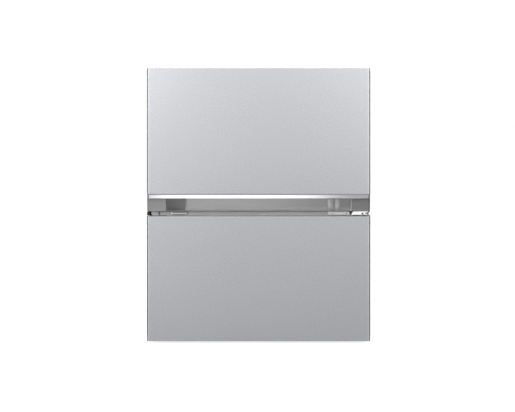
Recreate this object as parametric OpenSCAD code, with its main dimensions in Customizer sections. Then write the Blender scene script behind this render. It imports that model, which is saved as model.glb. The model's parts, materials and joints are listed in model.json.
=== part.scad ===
// Compact two-door fridge freezer, sizes in millimetres.
// X runs to the right, Y to the back and Z up; the doors face -Y and hinge on the right.
// The origin is on the floor, under the middle of the appliance.

/* [Overall] */
// Width over the doors and the cabinet
body_w = 595; // [580:1:620]
// Height from the floor to the top of the upper door
body_h = 732; // [722:1:780]
// Depth from the door faces to the spacers of the condenser
body_d = 600; // [590:1:640]

/* [Doors] */
// Height at which the lower door begins
door_low = 5; // [3:0.5:8]
// Top of the lower door
lower_door_top = 339; // [335:0.5:340]
// Gap between the two doors
door_gap = 12.5; // [12:0.5:14]
// Height of the grip under the skin of the upper door
grip_h = 45.3; // [42:0.1:50]
// Height of the bright trim at the top of the grip
trim_h = 11.5; // [9:0.5:13]
// Thickness of a door without its gasket
door_t = 52; // [50:1:54]
// Thickness of the gasket when the door is shut
gasket_t = 12; // [11:0.5:13]
// Sheet thickness of the steel skins
skin_t = 1.2; // [1:0.1:1.5]
// Distance of the hinge axis from the side of the cabinet
hinge_inset = 22; // [20:0.5:24]

/* [Cabinet] */
// Underside of the cabinet above the floor
cab_low = 18; // [17:0.5:20]
// Insulation at each side of the compartments
wall_t = 49.5; // [48:0.5:55]
// Space behind the back panel, filled by the condenser
condenser_gap = 38; // [36:1:45]
// Height of the compressor bay
bay_top = 166; // [164:1:170]
// Front of the compressor bay
bay_front = 92; // [88:1:96]

/* [Condenser] */
// Number of tube runs
tube_runs = 11; // [7:2:13]
// Outer radius of the tube
tube_r = 2.4; // [2:0.1:3]
// Number of wires on each side of the tube
wire_count = 36; // [12:1:40]
// Radius of a wire
wire_r = 0.75; // [0.6:0.05:1]

/* [Hidden] */
$fn = 48;
eps = 0.01;

// Places across the width
half_w = body_w / 2;
sheet = 1;
liner_t = 2;
cavity_half = half_w - wall_t - liner_t;
mouth_half = half_w - wall_t;
hinge_x = half_w - hinge_inset;

// Places from front to back
face_y = -body_d / 2;
door_back_y = face_y + door_t;
front_y = door_back_y + gasket_t;
back_y = body_d / 2 - condenser_gap;
hinge_y = face_y + 24;
foam_back_y = door_back_y - 2.5;
cavity_back_y = back_y - 50;

// Heights
upper_door_low = lower_door_top + door_gap;
skin_low = upper_door_low + grip_h;
trim_low = skin_low - trim_h;
cab_top = body_h - 8.5;
cap_recess_z = cab_top - 1;
rail_mid = lower_door_top + door_gap / 2;
rail_low = rail_mid - 25.25;
rail_top = rail_mid + 24.75;
freezer_low = 65;
freezer_high = rail_low - liner_t;
fridge_low = rail_top + liner_t;
fridge_high = cab_top - 34.5;
step_z = bay_top + 36;
step_y = bay_front - 42;

// Hinges
pin_r = 4;
bush_clearance = 0.05;
bush_r = 7;
eye_r = 8;
hinge_arm_left = 14;
plate_t = 4;
arm_low = lower_door_top + 1.2;
arm_top = upper_door_low - 0.9;
screw_r = 2.6;
hinge_screw_places = [[-50, 14], [-50, 40], [2, 40]];

// Grip, measured from the door face
grip_wall = 3;
trim_back_y = face_y + 8;
pocket_front_y = face_y + 11;
pocket_back_y = face_y + 26;
pocket_top = skin_low + 5.2;
band_top = trim_low + 2.7;
band_foot_y = face_y + 36;
end_left_x = -250.6;
end_right_x = 247;
end_cheek = 4.6;
band_slope = atan((band_foot_y - pocket_back_y) / (band_top - upper_door_low));

scoop_x = [-247.6, -193.6];
scoop_depth = 7;
rib_x = [190, 208.6];

// Pieces in the gap between the doors
buffer_x = [-297.2, -285];
end_piece_x = [-284, -269];
cover_x = [-266, 184.7];
plug_x = [-231.4, -192.6];
plug_r = 3.2;
plate_x = [184.7, 241.9];
plate_screw_x = [196, 233.4];
arm_x = [247, 295.5];
notch_x = 283;

// Inner parts of the doors
cap_h = 12;
cap_side = half_w - skin_t;
cap_front = face_y + skin_t;
fold_w = 9;
fridge_ring_low = fridge_low + 14;
fridge_ring_high = fridge_high - 10;
fridge_ring_h = 30;
freezer_ring_low = freezer_low + 14;
freezer_ring_high = freezer_high - 12;
freezer_ring_h = 10;
hidden_scoop_x = 242.5;
hidden_scoop_front = face_y + 7;
hidden_scoop_back = face_y + 31;
hidden_scoop_low = lower_door_top - 20;

// Gaskets
gasket_outer = hinge_x - 3.5;
gasket_w = 16;

// Drawers and shelves
drawer_half = 229;
bin_half = 200;
dike_half = 228;
shelf_z = 596;
crisper_top = fridge_low + 130;
lower_rim_z = freezer_low + 117;
upper_rim_z = freezer_high - 18;

// Front feet
foot_x = 188;
foot_y = front_y + 34;

// Rear rollers
roller_x = 236;
roller_y = 222;
roller_r = 15;
axle_r = 3;

// Compressor, with the rubber sleeves in its feet
comp_x = 80;
comp_y = 177;
comp_low = 34;
comp_top = 136;
comp_r = 76;
grommet_places = [for (x = [-62, 62], y = [-46, 46]) [comp_x + x, comp_y + y]];

// Condenser and the pipes at its ends
cond_y = back_y + 22;
cond_low = 226;
cond_high = cab_top - 44;
run_pitch = (cond_high - cond_low) / (tube_runs - 1);
run_half = 205;
spacer_x = [242, 256];
drier_x = 190;
drier_y = 236;
capillary_r = 1.6;
suction_r = 3.2;

// Control housing under the roof of the fridge compartment
ctrl_front = front_y + 94;
ctrl_low = fridge_high - 26;
ctrl_half = 105;
dial_x = -66;
dial_z = ctrl_low + 13;
dial_r = 10.5;
shaft_r = 3;

// Drain from the fridge compartment to the evaporation tray
drain_y = cavity_back_y + 26;
drain_z = fridge_low + 14;
drain_r = 7;

// Repeated shapes

// Box from corner p to corner q
module span(p, q) { translate(p) cube(q - p); }

// Rectangle from corner p to corner q with round corners
module rrect(p, q, r) {
    translate([p[0] + r, p[1]]) square([q[0] - p[0] - 2 * r, q[1] - p[1]]);
    translate([p[0], p[1] + r]) square([q[0] - p[0], q[1] - p[1] - 2 * r]);
    for (x = [p[0] + r, q[0] - r], y = [p[1] + r, q[1] - r]) translate([x, y]) circle(r);
}

// Profile in Y and Z, drawn out along X
module along_x(x0, x1) { translate([x0, 0, 0]) rotate([90, 0, 90]) linear_extrude(x1 - x0) children(); }

// Profile in X and Z, drawn out along Y
module along_y(y0, y1) { translate([0, y1, 0]) rotate([90, 0, 0]) linear_extrude(y1 - y0) children(); }

// Profile in X and Y, drawn out along Z
module along_z(z0, z1) { translate([0, 0, z0]) linear_extrude(z1 - z0) children(); }

// Shape and its mirror image across the middle of the appliance
module both_sides() {
    children();
    mirror([1, 0, 0]) children();
}

// Cabinet seen from the front, with round top corners
module cabinet_outline(inset, low) {
    r = 9 - inset;
    edge = half_w - inset;
    translate([-edge, low]) square([2 * edge, cab_top - inset - r - low]);
    translate([-edge + r, low]) square([2 * (edge - r), cab_top - inset - low]);
    for (x = [-edge + r, edge - r]) translate([x, cab_top - inset - r]) circle(r);
}

// Cabinet

module cabinet_shell() color("silver") difference() {
    along_y(front_y, back_y) cabinet_outline(0, cab_low);
    along_y(front_y + sheet, back_y + 1) cabinet_outline(sheet, cab_low - 1);
    span([-mouth_half, front_y - 1, freezer_low - liner_t],
         [mouth_half, front_y + 3, fridge_high + liner_t]);
}

module back_panel() color("gainsboro") {
    along_y(back_y - sheet, back_y) cabinet_outline(sheet, bay_top + 1.5);
    for (z = [260, 420, 580])
        along_y(back_y - eps, back_y + 1.5) rrect([-240, z - 7], [240, z + 7], 6.5);
}

// Bottom sheet with the step over the compressor
module base_plate() color("lightgray") {
    inner = half_w - sheet;
    difference() {
        along_x(-inner, inner) {
            translate([front_y + sheet, cab_low]) square([bay_front - front_y - sheet, 1.5]);
            translate([bay_front - 1.5, cab_low]) square([1.5, bay_top + 1.5 - cab_low]);
            translate([bay_front - 1.5, bay_top]) square([back_y - bay_front + 1.5, 1.5]);
        }
        drain_path(drain_r);
        foot_holes(5.6);
    }
}

// Clearance holes for the threaded rods of the front feet
module foot_holes(r) {
    both_sides() translate([foot_x, foot_y, cab_low - 1]) cylinder(r = r, h = 24);
}

// Form of the fridge compartment, grown outwards, from the given front to its back wall
module fridge_tub(grow, front) {
    along_y(front, cavity_back_y + grow)
        rrect([-cavity_half - grow, fridge_low - grow], [cavity_half + grow, fridge_high + grow], 12 + grow);
}

// Form of the freezer compartment, stepped over the compressor bay
module freezer_tub(grow, front) {
    along_x(-cavity_half - grow, cavity_half + grow) polygon([
        [front, freezer_low - grow], [step_y + grow, freezer_low - grow],
        [step_y + grow, step_z - grow], [cavity_back_y + grow, step_z - grow],
        [cavity_back_y + grow, freezer_high + grow], [front, freezer_high + grow]
    ]);
}

// Elbow from the back wall of the fridge compartment down into the compressor bay
module drain_path(r) {
    translate([0, drain_y, bay_top - 20]) cylinder(r = r, h = drain_z - bay_top + 20);
    translate([0, drain_y, drain_z]) sphere(r);
    translate([0, cavity_back_y - 1, drain_z])
        rotate([-90, 0, 0]) cylinder(r = r, h = drain_y - cavity_back_y + 1);
}

module cabinet_foam() color("khaki") {
    inner = half_w - sheet;
    difference() {
        along_y(front_y + sheet, back_y - sheet) cabinet_outline(sheet, cab_low + 1.5);
        fridge_tub(liner_t, front_y - 1);
        freezer_tub(liner_t, front_y - 1);
        span([-inner - 1, bay_front - 1.5, cab_low], [inner + 1, back_y, bay_top + 1.5]);
        span([-mouth_half, front_y, rail_low], [mouth_half, front_y + 22, rail_top]);
        drain_path(drain_r);
        foot_holes(6.5);
    }
}

// Ledge on both side walls, with its top at z
module side_ledges(z, reach, y0, y1) {
    both_sides() along_y(y0, y1) polygon([
        [cavity_half + 1, z - 6 - reach / 2], [cavity_half - reach, z - 5],
        [cavity_half - reach, z], [cavity_half + 1, z]
    ]);
}

module fridge_liner() color("white") {
    difference() {
        fridge_tub(liner_t, front_y);
        fridge_tub(0, front_y - 1);
        drain_path(drain_r);
    }
    for (z = [shelf_z - 44, shelf_z, crisper_top]) side_ledges(z, 7, front_y + 80, cavity_back_y - 20);
}

module freezer_liner() color("white") {
    difference() {
        freezer_tub(liner_t, front_y);
        freezer_tub(0, front_y - 1);
    }
    side_ledges(lower_rim_z, 24.5, front_y + 60, step_y + 1);
    side_ledges(upper_rim_z, 24.5, front_y + 60, cavity_back_y + 1);
    side_ledges(step_z - 3.5, 7, front_y + 40, step_y + 1);
}

// Pressed steel channel between the two compartments
module center_rail() color("silver") along_x(-mouth_half, mouth_half) {
    translate([front_y, rail_low]) square([1.5, rail_top - rail_low]);
    for (z = [rail_low, rail_top - 1.5]) translate([front_y, z]) square([22, 1.5]);
}

// Strip that shows in the gap between the doors, with a recess for the plug
module rail_cover() color("darkgray") difference() {
    along_x(cover_x[0], cover_x[1]) {
        translate([front_y - 6, arm_low + 1.2]) square([6, arm_top - arm_low - 2.4]);
        translate([front_y - 5, arm_low]) square([5, arm_top - arm_low]);
    }
    along_y(front_y - 7, front_y + 1) plug_outline(0);
}

// Round-ended outline of the plug and its hole
module plug_outline(grow) {
    r = plug_r + grow;
    for (x = plug_x) translate([x, rail_mid]) circle(r);
    translate([plug_x[0], rail_mid - r]) square([plug_x[1] - plug_x[0], 2 * r]);
}

module hole_plug() color("lightgray") {
    along_y(front_y - 6.6, front_y) plug_outline(0);
    along_y(front_y - 7.4, front_y - 6.4) plug_outline(-0.7);
}

// Spacer with a chamfered corner beside the buffer
module rail_end_piece() color("darkgray") along_y(front_y - 9, front_y) polygon([
    [end_piece_x[0], arm_low + 3], [end_piece_x[0] + 3, arm_low], [end_piece_x[1], arm_low],
    [end_piece_x[1], arm_top], [end_piece_x[0], arm_top]
]);

module rail_buffer() color("black") along_y(front_y - 11, front_y)
    rrect([buffer_x[0], arm_low - 0.4], [buffer_x[1], arm_top + 0.4], 2);

// Plate of an outer hinge: an arm with an eye, and a foot on the cabinet
module hinge_plate(z0) {
    along_z(z0, z0 + plate_t) {
        translate([hinge_x, hinge_y]) circle(eye_r);
        translate([hinge_x - hinge_arm_left, hinge_y])
            square([hinge_arm_left + eye_r, front_y + 20 - hinge_y]);
        rrect([hinge_x - 62, front_y + 4], [hinge_x + 14, front_y + 52], 6);
    }
}

// Screw holes through the foot of an outer hinge
module hinge_holes(z0, r, h) {
    for (p = hinge_screw_places) translate([hinge_x + p[0], front_y + p[1], z0]) cylinder(r = r, h = h);
}

module top_hinge() color("gray") {
    difference() {
        hinge_plate(cab_top);
        hinge_holes(cab_top - 1, screw_r, plate_t + 2);
    }
    translate([hinge_x, hinge_y, cab_top - 24]) cylinder(r = pin_r, h = 24 + eps);
}

module bottom_hinge() color("gray") {
    difference() {
        hinge_plate(cab_low - plate_t);
        hinge_holes(cab_low - plate_t - 1, screw_r, plate_t + 2);
    }
    translate([hinge_x, hinge_y, cab_low - eps]) cylinder(r = pin_r, h = 24);
}

module top_hinge_cover() color("silver") {
    low = cab_top;
    top = body_h - 0.5;
    difference() {
        along_z(low, top) rrect([hinge_x - 70, front_y + 2], [hinge_x + 18, front_y + 62], 8);
        along_z(low - 1, top - 1.2) rrect([hinge_x - 68, front_y + 4], [hinge_x + 16, front_y + 60], 6);
        span([hinge_x - hinge_arm_left - 1, front_y, low - 1],
             [hinge_x + eye_r + 1, front_y + 6, cab_top + plate_t]);
    }
}

// Bracket between the doors, with a pin up and a pin down and a notched end
module middle_hinge() color("lightgray") difference() {
    union() {
        span([plate_x[0], front_y - 8, arm_low + 0.4], [plate_x[1], front_y, arm_top - 0.4]);
        span([plate_x[1] - 0.9, front_y - 4, arm_low + 0.4], [arm_x[0] + 3, front_y, arm_top - 0.4]);
        along_y(hinge_y - 10, front_y) polygon([
            [arm_x[0], arm_low], [arm_x[1], arm_low], [arm_x[1], arm_low + 0.8], [notch_x, rail_mid],
            [arm_x[1], arm_top - 0.8], [arm_x[1], arm_top], [arm_x[0] + 4.5, arm_top]
        ]);
        translate([hinge_x, hinge_y, arm_low - 20]) cylinder(r = pin_r, h = arm_top - arm_low + 40);
    }
    for (x = plate_screw_x) translate([x, front_y - 9, rail_mid])
        rotate([-90, 0, 0]) cylinder(r = 2.1, h = 10);
    translate([hinge_x, hinge_y - 11, rail_mid]) rotate([-90, 0, 0]) cylinder(r = 1.6, h = 5);
}

// Screw with a domed head, its shank pointing down from z = 0
module screw(shank) {
    translate([0, 0, -shank]) cylinder(r = 2, h = shank + eps);
    rotate_extrude() intersection() {
        translate([0, -2.5]) circle(5.2);
        square([3.9, 4]);
    }
}

module hinge_screws() color("dimgray") {
    for (x = plate_screw_x) translate([x, front_y - 8, rail_mid]) rotate([90, 0, 0]) scale(0.75) screw(9);
    for (p = hinge_screw_places)
        translate([hinge_x + p[0], front_y + p[1], 0]) {
            translate([0, 0, cab_top + plate_t]) screw(plate_t - 0.2);
            translate([0, 0, cab_low - plate_t]) mirror([0, 0, 1]) screw(plate_t - 0.2);
        }
}

// Machine compartment

module roller_brackets() color("gray") both_sides() {
    for (x = [roller_x - 12, roller_x + 10])
        span([x, roller_y - 16, roller_r - 6], [x + 2, roller_y + 16, 44]);
    span([roller_x - 12, roller_y - 16, 42], [half_w - sheet, roller_y + 16, 44]);
    translate([roller_x - 14, roller_y, roller_r]) rotate([0, 90, 0]) cylinder(r = axle_r, h = 28);
}

module compressor_base() color("gray") difference() {
    inner = half_w - sheet;
    union() {
        span([-inner, bay_front + 6, cab_low], [inner, back_y - 3, cab_low + 2]);
        span([-inner, bay_front + 6, cab_low], [inner, bay_front + 8, cab_low + 12]);
        span([-inner, back_y - 5, cab_low], [inner, back_y - 3, cab_low + 12]);
        for (x = [-20, 180]) span([x - 6, bay_front + 6, cab_low], [x + 6, back_y - 3, cab_low + 5]);
    }
    both_sides() span([roller_x - 14, roller_y - 18, cab_low - 1],
                      [roller_x + 14, roller_y + 18, cab_low + 3]);
}

// Welded steel shell with its seam flange, feet and pipe stubs
module compressor() color("dimgray") difference() {
    union() {
        translate([comp_x, comp_y, 0]) rotate_extrude() {
            bend = 32;
            wall = comp_r - 4;
            translate([0, comp_low]) square([wall - bend, comp_top - comp_low]);
            translate([0, comp_low + bend]) square([wall, comp_top - comp_low - 2 * bend]);
            for (z = [comp_low + bend, comp_top - bend]) translate([wall - bend, z]) circle(bend);
            translate([0, comp_low + 52]) square([comp_r, 4]);
        }
        along_z(comp_low - 4, comp_low + 2) rrect([comp_x - 76, comp_y - 58], [comp_x + 76, comp_y + 58], 12);
    }
    for (p = grommet_places) translate([p[0], p[1], comp_low - 5]) cylinder(r = 6, h = 10);
}

// Rubber sleeves with a waist that the compressor feet sit in
module compressor_grommets() color("black") for (p = grommet_places)
    translate([p[0], p[1], 0]) rotate_extrude() polygon([
        [3, cab_low + 2], [11, cab_low + 2], [9.5, comp_low - 8], [11, comp_low - 4.05],
        [5.9, comp_low - 4.05], [5.9, comp_low + 2.05], [9, comp_low + 2.05], [8, comp_low + 6],
        [3, comp_low + 6]
    ]);

module terminal_cover() color("black") difference() {
    along_z(62, 108) rrect([comp_x + 40, comp_y - 26], [comp_x + 96, comp_y + 26], 7);
    translate([comp_x, comp_y, 60]) cylinder(r = comp_r + 0.1, h = 60);
}

module evaporation_tray() color("white") difference() {
    along_z(comp_top, comp_top + 14) rrect([comp_x - 104, comp_y - 62], [comp_x + 84, comp_y + 78], 14);
    along_z(comp_top + 2, comp_top + 15) rrect([comp_x - 102, comp_y - 60], [comp_x + 82, comp_y + 76], 12);
}

// Bent condenser tube and the wires welded to both of its sides
module condenser_tube() color("black") for (i = [0 : tube_runs - 1]) {
    z = cond_low + i * run_pitch;
    side = i % 2 == 0 ? -1 : 1;
    translate([-run_half, cond_y, z]) rotate([0, 90, 0]) cylinder(r = tube_r, h = 2 * run_half);
    if (i < tube_runs - 1) translate([side * run_half, cond_y, z + run_pitch / 2])
        rotate([90, 0, 0]) rotate([0, 0, side > 0 ? -90 : 90])
            rotate_extrude(angle = 180) translate([run_pitch / 2, 0]) circle(tube_r, $fn = 24);
}

module condenser_wires() color("black") {
    reach = tube_r + wire_r - 0.3;
    for (i = [0 : wire_count - 1], y = [-reach, reach])
        translate([-200 + 400 * i / (wire_count - 1), cond_y + y, cond_low - 9])
            cylinder(r = wire_r, h = cond_high - cond_low + 18, $fn = 16);
}

// Plastic blocks that hold the condenser and keep it off the wall
module condenser_spacers() color("black") both_sides() for (i = [1, tube_runs - 3]) {
    z = cond_low + (i + 0.5) * run_pitch;
    along_z(z - 11, z + 11) {
        rrect([spacer_x[0], back_y], [spacer_x[1], body_d / 2], 3);
        translate([190, cond_y - 11]) square([spacer_x[0] - 189, 7.9]);
    }
}

// Pipe of radius r along points that lie in line with the axes
module pipe(points, r) {
    for (i = [0 : len(points) - 2]) {
        a = points[i];
        b = points[i + 1];
        d = b - a;
        low = [min(a[0], b[0]), min(a[1], b[1]), min(a[2], b[2])];
        turn = d[0] != 0 ? [0, 90, 0] : d[1] != 0 ? [-90, 0, 0] : [0, 0, 0];
        translate(low) rotate(turn) cylinder(r = r, h = norm(d), $fn = 24);
        if (i > 0) translate(a) sphere(r, $fn = 24);
    }
}

module refrigerant_tubes() color("peru") {
    pipe([[12, comp_y, 78], [-40, comp_y, 78], [-40, cond_y, 78], [-234, cond_y, 78],
          [-234, cond_y, cond_high], [-run_half, cond_y, cond_high]], tube_r);
    pipe([[run_half, cond_y, cond_low], [216, cond_y, cond_low], [216, cond_y, 156], [drier_x, cond_y, 156],
          [drier_x, drier_y, 156], [drier_x, drier_y, 142]], tube_r);
    pipe([[drier_x, drier_y, 66], [drier_x, drier_y, 52], [drier_x, 120, 52], [drier_x, 120, 90],
          [drier_x, bay_front, 90]], capillary_r);
    pipe([[30, 130, 92], [30, 112, 92], [30, 112, 120], [30, bay_front, 120]], suction_r);
}

module filter_drier() color("peru") translate([drier_x, drier_y, 0]) rotate_extrude() polygon([
    [0, 64], [3, 64], [3.6, 70], [9, 80], [9, 128], [3.6, 138], [3, 144], [0, 144]
]);

module drain_spout() color("gray") difference() {
    drain_path(drain_r);
    drain_path(drain_r - 1.6);
    translate([0, cavity_back_y - 2, drain_z]) rotate([-90, 0, 0]) cylinder(r = drain_r - 1.6, h = 8);
    translate([0, drain_y, bay_top - 22]) cylinder(r = drain_r - 1.6, h = 8);
}

module power_inlet() color("black") translate([-250, back_y, 188]) rotate([-90, 0, 0]) difference() {
    rotate_extrude() polygon([[0, 0], [14, 0], [14, 3], [10, 4], [7.5, 16], [0, 16]]);
    translate([0, 0, 4]) cylinder(r = 4, h = 13);
}

// Fittings of the compartments

module glass_shelf() color("lightblue") {
    edge = cavity_half - 1.5;
    along_z(shelf_z, shelf_z + 4) rrect([-edge, front_y + 84], [edge, cavity_back_y - 22], 4);
}

module crisper_cover() color("lightblue") {
    edge = cavity_half - 1.5;
    along_z(crisper_top, crisper_top + 4) rrect([-edge, front_y + 84], [edge, cavity_back_y - 22], 4);
}

module control_housing() color("white") difference() {
    along_z(ctrl_low, fridge_high) rrect([-ctrl_half, ctrl_front], [ctrl_half, ctrl_front + 120], 9);
    translate([dial_x, ctrl_front - 1, dial_z])
        rotate([-90, 0, 0]) cylinder(r = shaft_r + bush_clearance, h = 12);
    span([-10, ctrl_front + 16, ctrl_low - 1], [90, ctrl_front + 104, ctrl_low + 16]);
}

module lamp_lens() color("white") along_z(ctrl_low - 5, ctrl_low + 2)
    rrect([-9.8, ctrl_front + 16.2], [89.8, ctrl_front + 103.8], 5);

// Rods of the cooling shelf between the freezer drawers
module evaporator_shelf() color("silver") {
    z = step_z - 3.5 + 2.6;
    y0 = front_y + 62;
    y1 = step_y - 8;
    for (y = [y0 : (y1 - y0) / 11 : y1 + 1])
        translate([-cavity_half + 1.5, y, z])
            rotate([0, 90, 0]) cylinder(r = 2.5, h = 2 * cavity_half - 3, $fn = 24);
    for (x = [-170, 0, 170]) translate([x, y0 - 6, z])
        rotate([-90, 0, 0]) cylinder(r = 1.8, h = y1 - y0 + 12, $fn = 24);
}

// Doors

// Steel skin of a door: the front, both sides and the edges folded in behind
module skin_section() {
    rear = door_back_y - 4;
    difference() {
        rrect([-half_w, face_y], [half_w, rear + 10], 3);
        rrect([-half_w + skin_t, face_y + skin_t], [half_w - skin_t, rear + 12], 1.8);
        translate([-half_w - 1, rear]) square([body_w + 2, 14]);
    }
    for (x = [-half_w + skin_t / 2, half_w - fold_w])
        translate([x, rear - skin_t]) square([fold_w - skin_t / 2, skin_t]);
}

// Space inside the skin of a door, between two heights, as far back as given
module door_core(z0, z1, rear) {
    along_z(z0, z1) difference() {
        rrect([-cap_side, cap_front], [cap_side, rear + 8], 1.8);
        translate([-half_w, rear]) square([body_w, 10]);
    }
}

// End cap of a door: the plug inside the skin and the rim behind it
module cap_body(z0, z1) {
    door_core(z0, z1, door_back_y - 4 - skin_t);
    span([-half_w + 0.5, door_back_y - 4, z0], [half_w - 0.5, door_back_y, z1]);
    span([-cap_side + fold_w, door_back_y - 6, z0], [cap_side - fold_w, door_back_y, z1]);
}

// Room for an outer hinge in the end of a door, at every angle of the door
module hinge_room(z0, z1) {
    span([hinge_x - 16, face_y + skin_t, z0], [half_w + 1, door_back_y + 1, z1]);
}

// Room of the grip in a door, from its front to the back of its wall
module grip_room() {
    foot = band_foot_y + grip_wall;
    top = pocket_back_y + grip_wall;
    polygon([
        [face_y - 1, upper_door_low - 1], [foam_back_y + 1, upper_door_low - 1],
        [foam_back_y + 1, upper_door_low + grip_wall], [foot, upper_door_low + grip_wall],
        [top, band_top], [top, pocket_top], [trim_back_y, pocket_top],
        [trim_back_y, skin_low + 3], [face_y - 1, skin_low + 3]
    ]);
    translate([(pocket_front_y + pocket_back_y) / 2, pocket_top])
        circle((pocket_back_y - pocket_front_y) / 2 + grip_wall);
}

// Solid section of the grip: lip, finger pocket and sloping wall
module grip_section() {
    pocket_mid = (pocket_front_y + pocket_back_y) / 2;
    pocket_half = (pocket_back_y - pocket_front_y) / 2;
    foot = band_foot_y + grip_wall;
    difference() {
        union() {
            translate([trim_back_y, trim_low])
                square([pocket_back_y + grip_wall - trim_back_y, pocket_top - trim_low]);
            translate([pocket_mid, pocket_top]) circle(pocket_half + grip_wall);
            translate([face_y + skin_t, skin_low]) square([trim_back_y - face_y, 3]);
        }
        translate([pocket_front_y, trim_low - 1])
            square([pocket_back_y - pocket_front_y, pocket_top - trim_low + 1]);
        translate([pocket_mid, pocket_top]) circle(pocket_half);
        translate([pocket_back_y - 1, trim_low - 1]) square([grip_wall + 2, band_top - trim_low + 1]);
    }
    polygon([
        [pocket_back_y, band_top], [band_foot_y, upper_door_low], [foam_back_y, upper_door_low],
        [foam_back_y, upper_door_low + grip_wall], [foot, upper_door_low + grip_wall],
        [pocket_back_y + grip_wall, band_top]
    ]);
}

// Profile in X and depth, drawn down along the sloping wall of the grip
module down_the_band(length) {
    translate([0, pocket_back_y, band_top]) rotate([band_slope, 0, 0])
        translate([0, 0, -length]) linear_extrude(length) children();
}

// Hollow of the scoop at the pulling end, with a soft right edge
module scoop_outline(grow) {
    translate([scoop_x[0] - grow, -1]) square([scoop_x[1] - scoop_x[0] - 6 + grow, scoop_depth + 1 + grow]);
    translate([scoop_x[0], -1]) square([scoop_x[1] - scoop_x[0] + grow, scoop_depth - 5]);
    translate([scoop_x[1] - 6, scoop_depth - 6]) circle(6 + grow);
}

module grip_band() color("gray") difference() {
    union() {
        along_x(end_left_x, end_right_x) grip_section();
        intersection() {
            down_the_band(60) intersection() {
                scoop_outline(2);
                translate([end_left_x - 1, 0]) square([-end_left_x, 2 * scoop_depth]);
            }
            span([end_left_x, face_y, upper_door_low], [scoop_x[1] + 4, foam_back_y, band_top]);
        }
        intersection() {
            down_the_band(60) for (x = rib_x) intersection() {
                translate([x, 3.2]) circle(5);
                translate([x - 6, -3]) square([12, 5]);
            }
            span([100, face_y, upper_door_low], [end_right_x, band_foot_y + 2, band_top]);
        }
    }
    intersection() {
        down_the_band(60) scoop_outline(0);
        span([scoop_x[0] - 1, face_y, upper_door_low - 1], [scoop_x[1] + 1, foam_back_y - 2, band_top + 1]);
    }
}

// Bright strip under the skin, leaning back towards its lower edge
module grip_trim() color("white") along_x(-half_w + 0.5 + end_cheek, half_w - 0.5 - end_cheek) polygon([
    [face_y + 0.4, skin_low - 0.3], [face_y + 5.6, trim_low + 0.6], [face_y + 6.2, trim_low],
    [trim_back_y, trim_low], [trim_back_y, skin_low - 0.3]
]);

// Ends of the grip; the right one carries the upper pin of the middle hinge
module grip_end_covers() color("gray") difference() {
    union() {
        for (x = [[-half_w + 0.5, end_left_x - 0.4], [end_right_x + 0.4, half_w - 0.5]]) {
            along_x(x[0], x[1]) polygon([
                [trim_back_y, skin_low], [trim_back_y, trim_low], [face_y + 14.5, upper_door_low],
                [foam_back_y, upper_door_low], [foam_back_y, skin_low]
            ]);
        }
        both_sides() along_x(half_w - 0.5 - end_cheek + 0.1, half_w - 0.5) polygon([
            [face_y + 0.4, skin_low], [face_y + 5.6, trim_low], [trim_back_y + 0.1, trim_low - 1],
            [trim_back_y + 0.1, skin_low]
        ]);
    }
    translate([hinge_x, hinge_y, upper_door_low - 1]) cylinder(r = bush_r, h = 25);
}

module fridge_door_skin() color("silver") difference() {
    along_z(skin_low, body_h) skin_section();
    hinge_room(cap_recess_z, body_h + 1);
}

module fridge_door_top_cap() color("silver") difference() {
    union() {
        cap_body(body_h - cap_h, body_h - 0.5);
        translate([hinge_x, hinge_y, cap_recess_z - 24]) cylinder(r = bush_r + 3, h = 22);
    }
    hinge_room(cap_recess_z, body_h);
    translate([hinge_x, hinge_y, cap_recess_z - 25]) cylinder(r = bush_r, h = 30);
}

// Inner panel of a door: a flat edge for the gasket and a raised ring inside it
module door_panel(low, high, ring_low, ring_high, ring_h) {
    difference() {
        union() {
            along_y(foam_back_y, door_back_y)
                rrect([-cap_side + fold_w + 0.5, low], [cap_side - fold_w - 0.5, high], 4);
            along_y(foam_back_y, door_back_y + ring_h)
                rrect([-dike_half, ring_low], [dike_half, ring_high], 14);
        }
        along_y(door_back_y, door_back_y + ring_h + 1)
            rrect([-bin_half - 5, ring_low + 20], [bin_half + 5, ring_high - 20], 10);
        ring_hollow(ring_low, ring_high, ring_h);
    }
}

// Hollow inside the raised ring, open towards the foam
module ring_hollow(ring_low, ring_high, ring_h) {
    wall = 2.5;
    along_y(foam_back_y - 1, door_back_y + ring_h - wall) difference() {
        rrect([-dike_half + wall, ring_low + wall], [dike_half - wall, ring_high - wall], 11.5);
        rrect([-bin_half - 5 - wall, ring_low + 20 - wall],
              [bin_half + 5 + wall, ring_high - 20 + wall], 12.5);
    }
}

// Uprights that the door bins hang between
module bin_uprights(grow, y0, y1) both_sides() along_y(y0, y1)
    rrect([bin_half + 5 - grow, fridge_ring_low + 20], [dike_half + grow, fridge_ring_high - 20], 3);

module fridge_door_liner() color("white") difference() {
    union() {
        door_panel(upper_door_low + grip_wall, body_h - cap_h, fridge_ring_low, fridge_ring_high,
                   fridge_ring_h);
        bin_uprights(0, door_back_y, door_back_y + 72);
    }
    bin_uprights(-2.5, foam_back_y - 1, door_back_y + 69.5);
}

module fridge_door_foam() color("khaki") {
    difference() {
        door_core(upper_door_low + grip_wall, body_h - cap_h, foam_back_y);
        along_x(-half_w - 1, half_w + 1) grip_room();
        for (x = [[-half_w, end_left_x], [end_right_x, half_w]])
            span([x[0], face_y, upper_door_low], [x[1], foam_back_y + 1, skin_low + 3]);
        intersection() {
            down_the_band(60) scoop_outline(2);
            span([end_left_x, face_y, upper_door_low], [scoop_x[1] + 4, foam_back_y + 1, band_top]);
        }
        both_sides() span([cap_side - fold_w, door_back_y - 4 - skin_t, skin_low],
                          [half_w, door_back_y, body_h]);
        translate([hinge_x, hinge_y, cap_recess_z - 24]) cylinder(r = bush_r + 3, h = 22);
    }
}

module freezer_door_skin() color("silver") difference() {
    along_z(door_low, lower_door_top) skin_section();
    span([-half_w - 1, face_y + skin_t, door_low - 1], [half_w + 1, door_back_y, cab_low + 1.5]);
}

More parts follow.
